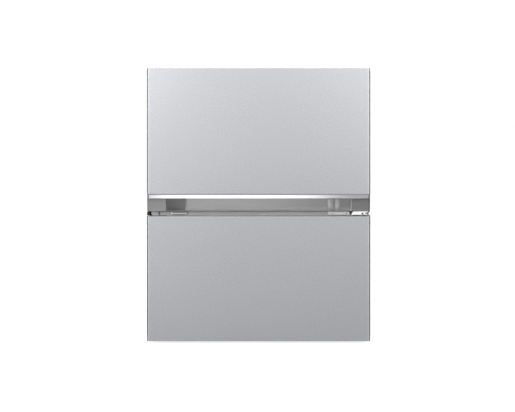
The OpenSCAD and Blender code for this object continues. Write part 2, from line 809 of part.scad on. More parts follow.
// Outline of the finger scoop in the top of the lower door, seen from above
module hidden_scoop(grow)
    rrect([-hidden_scoop_x - grow, hidden_scoop_front - grow],
          [hidden_scoop_x + grow, hidden_scoop_back + grow], 8 + grow);

// Cap of the lower door with the hidden scoop behind its front edge
module freezer_door_top_cap() color("gray") difference() {
    union() {
        cap_body(lower_door_top - cap_h, lower_door_top - 0.5);
        translate([hinge_x, hinge_y, lower_door_top - 24]) cylinder(r = bush_r + 3, h = 16);
        along_z(hidden_scoop_low - 2.5, lower_door_top - 11) hidden_scoop(2.5);
    }
    along_z(hidden_scoop_low, lower_door_top) hidden_scoop(0);
    translate([hinge_x, hinge_y, lower_door_top - 25]) cylinder(r = bush_r, h = 30);
}

module freezer_door_bottom_cap() color("gray") difference() {
    low = cab_low + 1.5;
    union() {
        cap_body(low, low + cap_h);
        span([-cap_side + 2, cap_front, door_low], [cap_side - 2, cap_front + 2, low + 1]);
        translate([hinge_x, hinge_y, low + 8]) cylinder(r = bush_r + 3, h = 18);
    }
    translate([hinge_x, hinge_y, low - 1]) cylinder(r = bush_r, h = 28);
}

module freezer_door_liner() color("white")
    door_panel(cab_low + 13.5, lower_door_top - cap_h, freezer_ring_low, freezer_ring_high, freezer_ring_h);

module freezer_door_foam() color("khaki") difference() {
    door_core(cab_low + 13.5, lower_door_top - cap_h, foam_back_y);
    along_z(hidden_scoop_low - 2.5, lower_door_top) hidden_scoop(2.5);
    both_sides() span([cap_side - fold_w, door_back_y - 4 - skin_t, cab_low],
                      [half_w, door_back_y, lower_door_top]);
    translate([hinge_x, hinge_y, lower_door_top - 24]) cylinder(r = bush_r + 3, h = 24);
    translate([hinge_x, hinge_y, cab_low]) cylinder(r = bush_r + 3, h = 27.5);
}

// Outline of one layer of a gasket
module gasket_outline(half, low, high, r) rrect([-half, low], [half, high], r);

// Magnetic gasket: a wide base on the door and a narrower face with bellows between them
module gasket(low, high) {
    inner = gasket_outer - gasket_w;
    difference() {
        union() {
            along_y(door_back_y, door_back_y + 3) gasket_outline(gasket_outer, low, high, 4);
            along_y(door_back_y + 3, front_y - 4) gasket_outline(gasket_outer - 2, low + 2, high - 2, 3);
            along_y(front_y - 4, front_y - 0.3) gasket_outline(gasket_outer - 0.5, low + 0.5, high - 0.5, 4);
        }
        along_y(door_back_y - 1, front_y) gasket_outline(inner, low + gasket_w, high - gasket_w, 3);
    }
}

module fridge_door_gasket() color("lightgray") gasket(upper_door_low + 2, cab_top - 9);

module freezer_door_gasket() color("lightgray") gasket(cab_low + 14, lower_door_top - 1.5);

// Plastic bush with a bore for a hinge pin and a flange under it that the door rests on
module bush(length, flange) rotate_extrude() polygon([
    [pin_r + bush_clearance, -flange], [bush_r + 1.5, -flange], [bush_r + 1.5, 0],
    [bush_r, 0], [bush_r, length], [pin_r + bush_clearance, length]
]);

module fridge_door_bushes() color("white") {
    translate([hinge_x, hinge_y, upper_door_low]) bush(22, upper_door_low - arm_top - 0.05);
    translate([hinge_x, hinge_y, cap_recess_z]) mirror([0, 0, 1]) bush(22, 0.5);
}

module freezer_door_bushes() color("white") {
    translate([hinge_x, hinge_y, lower_door_top - 0.5]) mirror([0, 0, 1]) bush(21.5, 0.5);
    translate([hinge_x, hinge_y, cab_low + 1.5]) bush(24, 1.45);
}

// Tray that hangs in the door: rounded, open on top, with a rim and side hooks
module door_bin(z, h) color("lightblue") {
    y0 = door_back_y + 1;
    y1 = door_back_y + 92;
    difference() {
        union() {
            along_z(z, z + h) rrect([-bin_half, y0], [bin_half, y1], 16);
            along_z(z + h - 5, z + h) rrect([-bin_half - 3, y0], [bin_half + 3, y1 + 2], 17);
            both_sides() span([bin_half - 2, y0 + 20, z + 12], [bin_half + 5, y0 + 60, z + 20]);
        }
        along_z(z + 2.5, z + h + 1) rrect([-bin_half + 2.5, y0 + 2.5], [bin_half - 2.5, y1 - 2.5], 13.5);
    }
}

module door_bin_upper() door_bin(fridge_low + 190, 56);

module door_bin_lower() door_bin(fridge_low + 36, 74);

// Drawers

module crisper_drawer() color("lightblue") {
    y0 = front_y + 105;
    y1 = cavity_back_y - 24;
    low = fridge_low + 0.6;
    high = crisper_top - 8;
    difference() {
        union() {
            along_z(low, high) rrect([-drawer_half + 4, y0 + 3], [drawer_half - 4, y1], 14);
            along_z(high - 4, high) rrect([-drawer_half, y0 + 1], [drawer_half, y1 + 2], 15);
            along_z(low + 2, high) rrect([-drawer_half, y0], [drawer_half, y0 + 12], 5);
        }
        along_z(low + 3, high + 1) rrect([-drawer_half + 7, y0 + 6], [drawer_half - 7, y1 - 3], 12);
        along_y(y0 - 1, y0 + 3) rrect([-75, high - 44], [75, high - 20], 11);
    }
}

// Freezer drawer with a rim that slides on the ledges of the compartment
module freezer_drawer(low, rim_z, depth) color("lightblue") {
    y0 = front_y + 45;
    y1 = y0 + depth;
    body = drawer_half - 10;
    high = rim_z + 12;
    difference() {
        union() {
            along_z(low, high) rrect([-body, y0 + 3], [body, y1], 12);
            along_z(rim_z + 0.4, rim_z + 3.4) rrect([-drawer_half, y0 + 4], [drawer_half, y1], 12);
            along_z(low, high) rrect([-drawer_half, y0], [drawer_half, y0 + 12], 5);
        }
        along_z(low + 3, high + 1) rrect([-body + 3, y0 + 6], [body - 3, y1 - 3], 10);
        along_y(y0 - 1, y0 + 3) rrect([-80, high - 46], [80, high - 20], 12);
    }
}

module freezer_drawer_upper() freezer_drawer(step_z + 3, upper_rim_z, 392);

module freezer_drawer_lower() freezer_drawer(freezer_low + 1, lower_rim_z, 234);

// Small moving pieces

module thermostat_dial() color("white") translate([dial_x, ctrl_front, dial_z]) rotate([90, 0, 0]) {
    difference() {
        union() {
            translate([0, 0, 0.4]) cylinder(r = dial_r, h = 5);
            translate([0, 0, 5.4]) cylinder(r1 = dial_r, r2 = dial_r - 1, h = 1);
        }
        for (a = [0 : 30 : 330]) rotate(a)
            translate([dial_r + 1.1, 0, -1]) cylinder(r = 1.8, h = 8, $fn = 16);
        translate([-0.7, 3.5, 5.6]) cube([1.4, 8, 2]);
    }
    translate([0, 0, -10]) cylinder(r = shaft_r, h = 11);
}

// Levelling foot: a hexagonal pad on a threaded rod
module front_foot() color("black") {
    rotate_extrude() polygon([[0, 0], [14, 0], [16, 2], [16, 4], [9, 5], [0, 5]]);
    translate([0, 0, 4]) cylinder(r = 13, h = 9, $fn = 6);
    translate([0, 0, 12]) cylinder(r = 5, h = 26);
}

module front_foot_left() translate([-foot_x, foot_y, 0]) front_foot();

module front_foot_right() translate([foot_x, foot_y, 0]) front_foot();

module rear_roller() color("black") rotate([0, 90, 0]) rotate_extrude() polygon([
    [axle_r + bush_clearance, -9], [7, -9], [7, -8], [roller_r - 1.5, -8], [roller_r, -6.5],
    [roller_r, 6.5], [roller_r - 1.5, 8], [7, 8], [7, 9], [axle_r + bush_clearance, 9]
]);

module rear_roller_left() translate([-roller_x, roller_y, roller_r]) rear_roller();

module rear_roller_right() translate([roller_x, roller_y, roller_r]) rear_roller();

cabinet_shell();
back_panel();
base_plate();
cabinet_foam();
fridge_liner();
freezer_liner();
center_rail();
rail_cover();
rail_end_piece();
rail_buffer();
hole_plug();
top_hinge();
top_hinge_cover();
middle_hinge();
bottom_hinge();
hinge_screws();
roller_brackets();
compressor_base();
compressor();
compressor_grommets();
terminal_cover();
evaporation_tray();
condenser_tube();
condenser_wires();
condenser_spacers();
filter_drier();
refrigerant_tubes();
drain_spout();
power_inlet();
glass_shelf();
crisper_cover();
control_housing();
lamp_lens();
evaporator_shelf();
fridge_door_skin();
fridge_door_liner();
fridge_door_foam();
fridge_door_top_cap();
grip_band();
grip_trim();
grip_end_covers();
fridge_door_gasket();
fridge_door_bushes();
door_bin_upper();
door_bin_lower();
freezer_door_skin();
freezer_door_liner();
freezer_door_foam();
freezer_door_top_cap();
freezer_door_bottom_cap();
freezer_door_gasket();
freezer_door_bushes();
crisper_drawer();
freezer_drawer_upper();
freezer_drawer_lower();
thermostat_dial();
front_foot_left();
front_foot_right();
rear_roller_left();
rear_roller_right();
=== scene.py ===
"""A compact two-door fridge freezer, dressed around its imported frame.

The frame brings the sheet metal, liners, hinges, drawers and machine parts at their real size. This
script gives each of them its finish and adds what the frame leaves plain: screws, gaskets, ribs,
trims and the small fittings of the compartments. The scene is in metres; shapes are given in
millimetres where a helper says so.
"""
from __future__ import annotations

import functools
import json
import logging
import math
from dataclasses import dataclass, field
from enum import Enum
from typing import Callable, Sequence

import bmesh
import bpy
from mathutils import Euler, Matrix, Vector


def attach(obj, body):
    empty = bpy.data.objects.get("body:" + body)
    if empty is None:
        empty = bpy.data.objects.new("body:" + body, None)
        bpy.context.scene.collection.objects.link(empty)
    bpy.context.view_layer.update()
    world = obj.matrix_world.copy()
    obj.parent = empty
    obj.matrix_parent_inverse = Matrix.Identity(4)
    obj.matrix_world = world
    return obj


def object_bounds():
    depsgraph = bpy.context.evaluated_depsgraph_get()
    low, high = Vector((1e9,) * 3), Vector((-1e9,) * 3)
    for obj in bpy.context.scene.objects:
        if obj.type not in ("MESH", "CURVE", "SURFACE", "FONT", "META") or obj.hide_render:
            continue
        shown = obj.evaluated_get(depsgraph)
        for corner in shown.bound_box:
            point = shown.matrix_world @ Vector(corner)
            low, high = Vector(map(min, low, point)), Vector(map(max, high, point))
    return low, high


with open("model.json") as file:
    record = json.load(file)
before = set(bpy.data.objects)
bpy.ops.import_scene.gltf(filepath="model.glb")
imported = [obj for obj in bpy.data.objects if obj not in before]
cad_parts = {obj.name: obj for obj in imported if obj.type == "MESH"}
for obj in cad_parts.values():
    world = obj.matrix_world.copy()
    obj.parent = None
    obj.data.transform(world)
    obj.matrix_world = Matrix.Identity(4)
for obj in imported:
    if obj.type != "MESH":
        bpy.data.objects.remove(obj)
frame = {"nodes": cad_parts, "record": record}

log = logging.getLogger("fridge_freezer")

CAD_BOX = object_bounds()

Color = tuple[float, float, float]
Point = tuple[float, float, float]
Outline = Sequence[tuple[float, float]]
Node = bpy.types.Node
Socket = bpy.types.NodeSocket
Sockets = bpy.types.NodeOutputs
Looks = tuple[Socket, Socket, Socket]
Material = bpy.types.Material
Shape = bmesh.types.BMesh

PHOTO_WIDTH_PX = 515
PHOTO_HEIGHT_PX = 412
OBJECT_LEFT_PX = 146.9
OBJECT_RIGHT_PX = 370.36
BODY_WIDTH = 0.595
DOORS_TOP_PX = 68.28
METRES_PER_PX = BODY_WIDTH / (OBJECT_RIGHT_PX - OBJECT_LEFT_PX)

ORIGIN = (0.0, 0.0, 0.0)
GLOSS_LOW, GLOSS_HIGH = 0.3, 0.7
# Colours of the painted highlight and the painted shade along a door's fold.
FOLD_PAINTED_HIGHLIGHT, FOLD_PAINTED_SHADE = (0.95, 0.95, 0.96), (0.05, 0.05, 0.052)
WHITE, WARM_WHITE, FLOOR_GRAY = (1.0,) * 4, (1.0, 0.96, 0.90, 1.0), (0.3, 0.3, 0.3, 1.0)
FLOOR_DROP = 0.0005
COAT_ROUGHNESS = 0.1
DUST_HEIGHTS, DUST_ABOVE, DUST_EDGES = (0.0, 0.5), 0.35, (0.42, 0.68)
HEAD_SIDES, CROWN_TOP, CROWN_HEIGHT = 24, 0.72, 0.4
CROSS_SLOT = (1.1, 0.24)
STRAND_SIDES = 10
BEND_STEPS = 6
RECESS_LIFT = 0.62
RECESS_HEIGHT = 0.7
SOCKET_KINDS = {int: "Int", float: "Float", tuple: "Vector"}


def placed(name: str, data: bpy.types.ID) -> bpy.types.Object:
    """Puts an object with the given data in the scene.

    Args:
        name: the object's name.
        data: its mesh, lamp or camera.

    Returns:
        The object.
    """
    made = bpy.data.objects.new(name, data)
    bpy.context.collection.objects.link(made)
    return made


# Node trees


class Tree:
    """A node tree with short calls for adding, filling and joining nodes."""

    def __init__(self, tree: bpy.types.NodeTree) -> None:
        """Keeps the tree that the nodes go into."""
        self.tree = tree

    def fill(self, place: Socket, value: object) -> None:
        """Gives an input a value, or links it to the socket that brings one.

        Args:
            place: the input.
            value: a number, a color, a vector or another node's output.
        """
        if isinstance(value, Socket):
            self.tree.links.new(value, place)
        else:
            place.default_value = value

    def add(self, kind: str, *given: object, **named: object) -> Node:
        """Adds a node.

        Args:
            kind: the node's type, such as ShaderNodeMath.
            given: values or sockets for its first inputs.
            named: its properties, in lower case, and its inputs, with spaces written as underscores.

        Returns:
            The new node.
        """
        made = self.tree.nodes.new(kind)
        inputs = {name.replace("_", " "): value for name, value in named.items() if not name.islower()}
        for name, value in named.items():
            if name.islower():
                setattr(made, name, value)
        for place, value in zip(made.inputs, given):
            self.fill(place, value)
        for name, value in inputs.items():
            self.fill(made.inputs[name], value)
        return made

    def get(self, kind: str, *given: object, **named: object) -> Socket:
        """Adds a node as add() does and returns its first output."""
        return self.add(kind, *given, **named).outputs[0]

    def math(self, operation: str, first: object, second: object = 0.0) -> Socket:
        """Adds a Math node for sockets or numbers and returns its value."""
        return self.get("ShaderNodeMath", first, second, operation=operation)

    def span(self, value: Socket, low: float, high: float, to_low: float, to_high: float) -> Socket:
        """Maps a value from one range to another, smoothly and within its ends."""
        return self.get("ShaderNodeMapRange", value, low, high, to_low, to_high,
                        interpolation_type="SMOOTHSTEP")

    def mix(self, factor: Socket, first: Socket | Color, second: Color) -> Socket:
        """Mixes two colors by a factor.

        Args:
            factor: how much there is of the second color.
            first: the first color.
            second: the second color.

        Returns:
            The mixed color.
        """
        start = first if isinstance(first, Socket) else (*first, 1.0)
        mixed = self.add("ShaderNodeMix", data_type="RGBA", Factor=factor, A=start, B=(*second, 1.0))
        return mixed.outputs["Result"]

    def point(self) -> Socket:
        """Returns the point on the object, in its own coordinates."""
        return self.add("ShaderNodeTexCoord").outputs["Object"]

    def axis(self, name: str) -> Socket:
        """Returns one coordinate of that point."""
        return self.add("ShaderNodeSeparateXYZ", self.point()).outputs[name]

    def noise(self, scale: object, detail: float, point: Socket | None = None,
              roughness: float = 0.5) -> Socket:
        """Adds three-dimensional noise.

        Args:
            scale: a number, or a socket that brings it.
            detail: how many finer layers it has.
            point: where it is read; the object's own point if left out.
            roughness: how strong its finer layers are.

        Returns:
            The noise, from 0 to 1.
        """
        return self.get("ShaderNodeTexNoise", Vector=point or self.point(), Scale=scale, Detail=detail,
                        Roughness=roughness)


def new_group(name: str, kind: str, inputs: dict[str, object],
              outputs: dict[str, object]) -> tuple[Tree, Node, Node]:
    """Makes a node group.

    Args:
        name: its name.
        kind: its type, such as ShaderNodeTree.
        inputs: the usual value of each input, or its socket's kind.
        outputs: the same for its outputs.

    Returns:
        Its tree and the nodes of its inputs and outputs.
    """
    made = bpy.data.node_groups.new(name, kind)
    for side, sockets in (("INPUT", inputs), ("OUTPUT", outputs)):
        for label, value in sockets.items():
            plain = isinstance(value, str)
            sort = value if plain else SOCKET_KINDS[type(value)]
            socket = made.interface.new_socket(label, in_out=side, socket_type="NodeSocket" + sort)
            if not plain:
                socket.default_value = value
    tree = Tree(made)
    return tree, tree.add("NodeGroupInput"), tree.add("NodeGroupOutput")


def principled(name: str, looks: Callable[[Tree], dict[str, object]]) -> Material:
    """Makes a material.

    Args:
        name: its name.
        looks: given its tree, returns the values or sockets of the shader's inputs.

    Returns:
        The material.
    """
    made = bpy.data.materials.new(name)
    made.use_nodes = True
    tree = Tree(made.node_tree)
    surface = made.node_tree.nodes["Principled BSDF"]
    for place, value in looks(tree).items():
        tree.fill(surface.inputs[place], value)
    return made


@dataclass(frozen=True)
class Effect:
    """A shared surface effect, built once as a node group.

    Attributes:
        name: the group's name.
        inputs: its inputs and their usual values.
        outputs: the names of what it puts out.
        build: given its tree and its inputs, returns what it puts out.
    """

    name: str
    inputs: dict[str, float]
    outputs: tuple[str, ...]
    build: Callable[[Tree, Sockets], Sequence[Socket]]

    def group(self) -> bpy.types.NodeTree:
        """Returns the group, which is made the first time it is asked for.

        Returns:
            The group.
        """
        found = bpy.data.node_groups.get(self.name)
        if found:
            return found
        tree, given, result = new_group(self.name, "ShaderNodeTree", self.inputs,
                                        dict.fromkeys(self.outputs, "Float"))
        for place, value in zip(result.inputs, self.build(tree, given.outputs)):
            tree.fill(place, value)
        return tree.tree

    def place(self, tree: Tree, **values: float) -> Sockets:
        """Places the group in a material, with inputs as for add(), and returns its outputs."""
        return tree.add("ShaderNodeGroup", node_tree=self.group(), **values).outputs


def build_flakes(tree: Tree, given: Sockets) -> Sequence[Socket]:
    """Fills the metallic paint effect: fine flakes over a slow drift of tone.

    Args:
        tree: the group's tree.
        given: its inputs.

    Returns:
        What the group puts out, in order.
    """
    fine = tree.noise(given["Flake Scale"], detail=2.0)
    coarse = tree.noise(given["Drift Scale"], detail=1.0)
    flake = tree.math("MULTIPLY", tree.math("SUBTRACT", fine, 0.5), given["Flake"])
    drift = tree.math("MULTIPLY", tree.math("SUBTRACT", coarse, 0.5), given["Drift"])
    return tree.math("ADD", tree.math("ADD", flake, drift), 0.5), fine


def build_brushing(tree: Tree, given: Sockets) -> Sequence[Socket]:
    """Fills the drawn metal effect: fine lines along one direction.

    Args:
        tree: the group's tree.
        given: its inputs.

    Returns:
        What the group puts out, in order.
    """
    stretch = tree.get("ShaderNodeCombineXYZ", *[given["Scale " + axis] for axis in "XYZ"])
    point = tree.get("ShaderNodeVectorMath", tree.point(), stretch, operation="MULTIPLY")
    return (tree.noise(scale=1.0, detail=3.0, point=point, roughness=0.6),)


def build_dirt(tree: Tree, given: Sockets) -> Sequence[Socket]:
    """Fills the soiling effect: dust in patches, heavier near the floor.

    Args:
        tree: the group's tree.
        given: its inputs.

    Returns:
        What the group puts out, in order.
    """
    low = tree.span(tree.axis("Z"), *DUST_HEIGHTS, 1.0, DUST_ABOVE)
    patch = tree.span(tree.noise(given["Scale"], detail=5.0, roughness=0.6), *DUST_EDGES, 0.0, 1.0)
    return (tree.math("MULTIPLY", tree.math("MULTIPLY", patch, low), given["Amount"]),)


def build_grain(tree: Tree, given: Sockets) -> Sequence[Socket]:
    """Fills the moulded grain effect: small pits and a slow variation of gloss.

    Args:
        tree: the group's tree.
        given: its inputs.

    Returns:
        What the group puts out, in order.
    """
    cells = tree.add("ShaderNodeTexVoronoi", feature="SMOOTH_F1", Vector=tree.point(),
                     Scale=given["Pit Scale"])
    return cells.outputs["Distance"], tree.noise(scale=30.0, detail=2.0)


FLAKES = Effect("metallic_flakes", {"Flake Scale": 900.0, "Drift Scale": 4.0, "Flake": 0.5, "Drift": 0.3},
                ("Tone", "Height"), build_flakes)
BRUSHING = Effect("drawn_lines", {"Scale X": 4.0, "Scale Y": 900.0, "Scale Z": 900.0}, ("Lines",),
                  build_brushing)
DIRT = Effect("settled_dust", {"Scale": 14.0, "Amount": 0.5}, ("Mask",), build_dirt)
GRAIN = Effect("moulded_grain", {"Pit Scale": 1400.0}, ("Height", "Gloss"), build_grain)


# Finishes


@dataclass(frozen=True)
class Finish:
    """What every finish has: a name, two tones and the plain values of its shader.

    Attributes:
        name: the material's name.
        dark: its darker tone.
        light: its lighter tone.
        roughness: lowest and highest roughness.
        metallic: how metallic it is.
        relief: depth of its bump, in metres.
        coat: weight of a clear coat.
        specular: its specular level.
    """

    name: str
    dark: Color
    light: Color
    roughness: tuple[float, float] = (0.4, 0.5)
    metallic: float = 0.0
    relief: float = 0.0
    coat: float = 0.0
    specular: float = 0.5

    def plain(self) -> dict[str, object]:
        """Returns the inputs of the shader that don't vary."""
        return {"Metallic": self.metallic, "Coat Weight": self.coat, "Coat Roughness": COAT_ROUGHNESS,
                "Specular IOR Level": self.specular}

    def looks(self, tree: Tree) -> Looks:
        """Returns the color, the mask of the gloss and the height of the bump."""
        cloud = tree.noise(scale=25.0, detail=4.0)
        return tree.mix(cloud, self.dark, self.light), cloud, tree.noise(scale=600.0, detail=2.0)

    def values(self, tree: Tree) -> dict[str, object]:
        """Returns all the inputs of the shader.

        Args:
            tree: the material's tree.

        Returns:
            A socket or a value for each input, by its name.
        """
        color, gloss, height = self.looks(tree)
        bump = {}
        if self.relief:
            bump["Normal"] = tree.get("ShaderNodeBump", Distance=self.relief, Height=height)
        return self.plain() | bump | {
            "Base Color": color, "Roughness": tree.span(gloss, GLOSS_LOW, GLOSS_HIGH, *self.roughness)}


@dataclass(frozen=True)
class PaintedFoldShade:
    """Painted shade and highlight along the tight fold of a door's upright front edges.

    Attributes:
        dark_from: how far from the middle its painted shade line starts.
        light_from: how far from the middle the painted highlight line beside it starts.
        depth: the depth behind which neither is seen.
        dark: strength of the painted shade line.
        light: strength of the painted highlight line.
    """

    dark_from: float = 0.2946
    light_from: float = 0.2910
    depth: float = -0.2973
    dark: float = 0.92
    light: float = 0.2

    def draw(self, tree: Tree, tone: Socket) -> Socket:
        """Paints the fold's shade and highlight lines over a color.

        Args:
            tree: the material's tree.
            tone: the color under it.

        Returns:
            The color with the painted shade and highlight.
        """
        across = tree.math("ABSOLUTE", tree.axis("X"))
        front = tree.math("LESS_THAN", tree.axis("Y"), self.depth)
        # First the painted highlight line, then the painted shade line at the very edge.
        for start, strength, color in ((self.light_from, self.light, FOLD_PAINTED_HIGHLIGHT),
                                       (self.dark_from, self.dark, FOLD_PAINTED_SHADE)):
            line = tree.math("MULTIPLY", tree.math("GREATER_THAN", across, start), front)
            tone = tree.mix(tree.math("MULTIPLY", line, strength), tone, color)
        return tone


@dataclass(frozen=True)
class CoatedSteel(Finish):
    """Silver coated sheet with fine metal flakes.

    Attributes:
        flake_scale: how fine the flakes are.
        flake: how far a flake's tone departs from the rest.
        drift: how far the tone drifts over the sheet.
        fold: the painted shade and highlight along its upright edges, on a door.
    """

    flake_scale: float = 380.0
    flake: float = 3.8
    drift: float = 0.25
    fold: PaintedFoldShade | None = None

    def looks(self, tree: Tree) -> Looks:
        """Scatters the flakes.

        Args:
            tree: the material's tree.

        Returns:
            The color, the mask of the gloss and the height of the bump.
        """
        flakes = FLAKES.place(tree, Flake_Scale=self.flake_scale, Flake=self.flake, Drift=self.drift)
        tone = tree.mix(flakes["Tone"], self.dark, self.light)
        return self.fold.draw(tree, tone) if self.fold else tone, flakes["Tone"], flakes["Height"]


@dataclass(frozen=True)
class DrawnMetal(Finish):
    """Metal with fine lines from drawing or brushing."""

    def looks(self, tree: Tree) -> Looks:
        """Draws the lines."""
        lines = BRUSHING.place(tree)["Lines"]
        return self.tone(tree, lines), lines, lines

    def tone(self, tree: Tree, lines: Socket) -> Socket:
        """Colors the metal by its lines."""
        return tree.mix(lines, self.dark, self.light)


@dataclass(frozen=True)
class SlopedMetal(DrawnMetal):
    """Satin metal of the sloping band, with painted light that brightens it toward its foot, where the band
    lies in shade.

    Attributes:
        bright_from: the height where the painted light starts, in metres.
        bright_to: the height where the painted light is strongest, in metres.
        bright: the painted light's tone there.
    """

    bright_from: float = 0.3665
    bright_to: float = 0.3535
    bright: Color = (0.78, 0.78, 0.782)

    def tone(self, tree: Tree, lines: Socket) -> Socket:
        """Mixes the painted light's tone in toward the foot."""
        low = tree.span(tree.axis("Z"), self.bright_from, self.bright_to, 0.0, 1.0)
        return tree.mix(low, super().tone(tree, lines), self.bright)


@dataclass(frozen=True)
class DustyMetal(Finish):
    """Zinc or enamel sheet out of sight, with dust settled on it.

    Attributes:
        dust: the dust's color.
        amount: how much of it there is.
    """

    dust: Color = (0.35, 0.33, 0.30)
    amount: float = 0.5

    def looks(self, tree: Tree) -> Looks:
        """Settles the dust on the sheet.

        Args:
            tree: the material's tree.

        Returns:
            The color, the mask of the gloss and the height of the bump.
        """
        spangle = tree.noise(scale=60.0, detail=3.0)
        sheet = tree.mix(spangle, self.dark, self.light)
        return tree.mix(DIRT.place(tree, Amount=self.amount)["Mask"], sheet, self.dust), spangle, spangle


@dataclass(frozen=True)
class Moulding(Finish):
    """Moulded plastic or rubber with a fine grain.

    Attributes:
        pit_scale: how fine the grain is.
    """

    pit_scale: float = 1400.0

    def looks(self, tree: Tree) -> Looks:
        """Grains the surface."""
        grain = GRAIN.place(tree, Pit_Scale=self.pit_scale)
        return tree.mix(grain["Gloss"], self.dark, self.light), grain["Gloss"], grain["Height"]


@dataclass(frozen=True)
class Clear(Finish):
    """Clear plastic or glass.

    Attributes:
        transmission: how much light it lets through.
        ior: its index of refraction.
        glow: the strength of its own light.
    """

    transmission: float = 0.9
    ior: float = 1.49
    glow: float = 0.0

    def plain(self) -> dict[str, object]:
        """Adds what lets light through."""
        return super().plain() | {"Transmission Weight": self.transmission, "IOR": self.ior,
                                  "Emission Color": WARM_WHITE, "Emission Strength": self.glow}

    def looks(self, tree: Tree) -> Looks:
        """Clouds the surface faintly."""
        haze = tree.noise(scale=40.0, detail=3.0)
        return tree.mix(haze, self.dark, self.light), haze, haze


def gray(dark: float, light: float, blue: float = 0.002) -> tuple[Color, Color]:
    """Two tones of gray, with a little more or less blue."""
    return (dark, dark, dark + blue), (light, light, light + blue)


class Finishes:
    """The finishes of the record's material slots, by the slots' names, and then those of single trims."""

    # The door skins carry the painted shade and highlight of their folds.
    door_steel = CoatedSteel("door_silver", (0.432, 0.436, 0.458), (0.532, 0.537, 0.560), relief=0.00001,
                             specular=0.2, fold=PaintedFoldShade())
    cabinet_paint = CoatedSteel("cabinet_silver", (0.36, 0.363, 0.375), (0.43, 0.433, 0.447), (0.45, 0.55),
                                0.15, 0.00002)
    zinc_sheet = DustyMetal("zinc_sheet", (0.42, 0.43, 0.44), (0.58, 0.59, 0.60), (0.35, 0.55), 0.8, 0.00003)
    insulation = Moulding("rigid_foam", (0.62, 0.53, 0.30), (0.72, 0.62, 0.38), (0.8, 0.95), relief=0.0002,
                          pit_scale=500.0)
    liner_white = Moulding("liner_white", *gray(0.81, 0.835, -0.005), (0.34, 0.38), relief=0.000004)
    rail_gray = Finish("rail_gray", *gray(0.9021, 0.9579, 0.0), (0.3, 0.36), 0.8)
    hinge_steel = DrawnMetal("plated_steel", *gray(0.70, 0.86, 0.01), (0.22, 0.34), 0.9, 0.00001)
    screw_steel = DrawnMetal("dark_screw", *gray(0.09, 0.16, 0.0), (0.3, 0.45), 0.5, 0.00001)
    trim_bright = DrawnMetal("bright_trim", (0.83, 0.83, 0.84), (0.89, 0.89, 0.895), (0.27, 0.30), 0.9)
    # The band's satin carries painted light toward its foot.
    grip_gray = SlopedMetal("grip_satin", *gray(0.48, 0.52), (0.3, 0.4), 0.3, 0.000003)
    cap_gray = Moulding("cap_gray", (0.36, 0.363, 0.375), (0.42, 0.423, 0.435), (0.45, 0.6), relief=0.00003)
    gasket_gray = Moulding("gasket_vinyl", *gray(0.42, 0.50, 0.005), (0.5, 0.65), relief=0.00002)
    black_plastic = Moulding("black_plastic", *gray(0.012, 0.03, 0.0), (0.4, 0.55), relief=0.00004)
    clear_plastic = Clear("clear_drawer", (0.93, 0.955, 0.97), (0.96, 0.975, 0.985), (0.06, 0.10))
    shelf_glass = Clear("shelf_glass", (0.78, 0.90, 0.86), (0.86, 0.95, 0.92), (0.0, 0.03),
                        transmission=0.97, ior=1.52)
    compressor_black = DustyMetal("compressor_enamel", (0.012, 0.012, 0.013), (0.03, 0.03, 0.032),
                                  (0.25, 0.4), 0.1, 0.00004, coat=0.3)
    copper = DrawnMetal("drawn_copper", (0.60, 0.26, 0.14), (0.80, 0.42, 0.26), (0.25, 0.45), 1.0, 0.00001)
    black_rubber = Moulding("black_rubber", *gray(0.015, 0.035, 0.0), (0.6, 0.8), relief=0.00005)
    condenser_black = DustyMetal("condenser_enamel", (0.012, 0.012, 0.013), (0.03, 0.03, 0.03), (0.35, 0.5),
                                 0.0, 0.00002, amount=0.35)
    nylon = Moulding("nylon", (0.74, 0.73, 0.70), (0.80, 0.79, 0.76), (0.35, 0.5), relief=0.00002)
    lens_white = Clear("frosted_lens", (0.90, 0.90, 0.88), (0.95, 0.95, 0.93), (0.35, 0.5), transmission=0.5,
                       glow=6.0)
    freezer_metal = DrawnMetal("dipped_rods", (0.72, 0.73, 0.74), (0.82, 0.83, 0.84), (0.3, 0.45), 0.3,
                               0.00002)

    end_cover = DrawnMetal("end_cover", *gray(0.31, 0.34), (0.3, 0.4), 0.25, 0.000003)
    # A lighter copy of the band's metal: painted highlight on the ribs.
    rib = DrawnMetal("grip_rib_highlight", *gray(0.75, 0.81), (0.3, 0.4), 0.25, 0.000003)
    scoop = Moulding("scoop_gray", *gray(0.43, 0.47), (0.5, 0.6), relief=0.000005)
    # Dark gray for painted shade lines; the hinge plate's screw ends take it as their tone too.
    seal = Moulding("strip_seal", *gray(0.255, 0.28), (0.5, 0.6), relief=0.000005)
    # A darker copy of the end cover: painted shade on the right end.
    cover_right = DrawnMetal("end_cover_right_shaded", *gray(0.25, 0.275), (0.3, 0.4), 0.25)
    # Near black for painted shade: the band's ends, the hinge arm's pin hole and notch, and the line under
    # the arm.
    edge = Moulding("dark_shade", *gray(0.06, 0.08, 0.001), (0.5, 0.6), relief=0.000005)
    # Dark gray for the painted shade of the recess at the hinge's bend.
    recess_side = Moulding("recess_side", *gray(0.21, 0.24, 0.001), (0.5, 0.6), relief=0.000005)
    slip = Moulding("white_slip", *gray(0.90, 0.94, -0.005), (0.25, 0.35), relief=0.000003)
    plate = DrawnMetal("hinge_plate", *gray(0.95, 0.98), (0.08, 0.12), 1.0)
    # Near black for painted shade: the screws' cross recesses and the housing's slots.
    recess = Moulding("recess_shade_dark", *gray(0.008, 0.02, 0.0), (0.6, 0.8), relief=0.00001)
    seam = Moulding("gasket_seam", *gray(0.16, 0.20), (0.6, 0.75), relief=0.00001)
    bulb = Clear("bulb_glass", (0.92, 0.92, 0.90), (0.96, 0.96, 0.94), (0.05, 0.12), transmission=0.35)


NODE_FINISH: dict[str, Finish] = {"grip_end_covers": Finishes.end_cover}


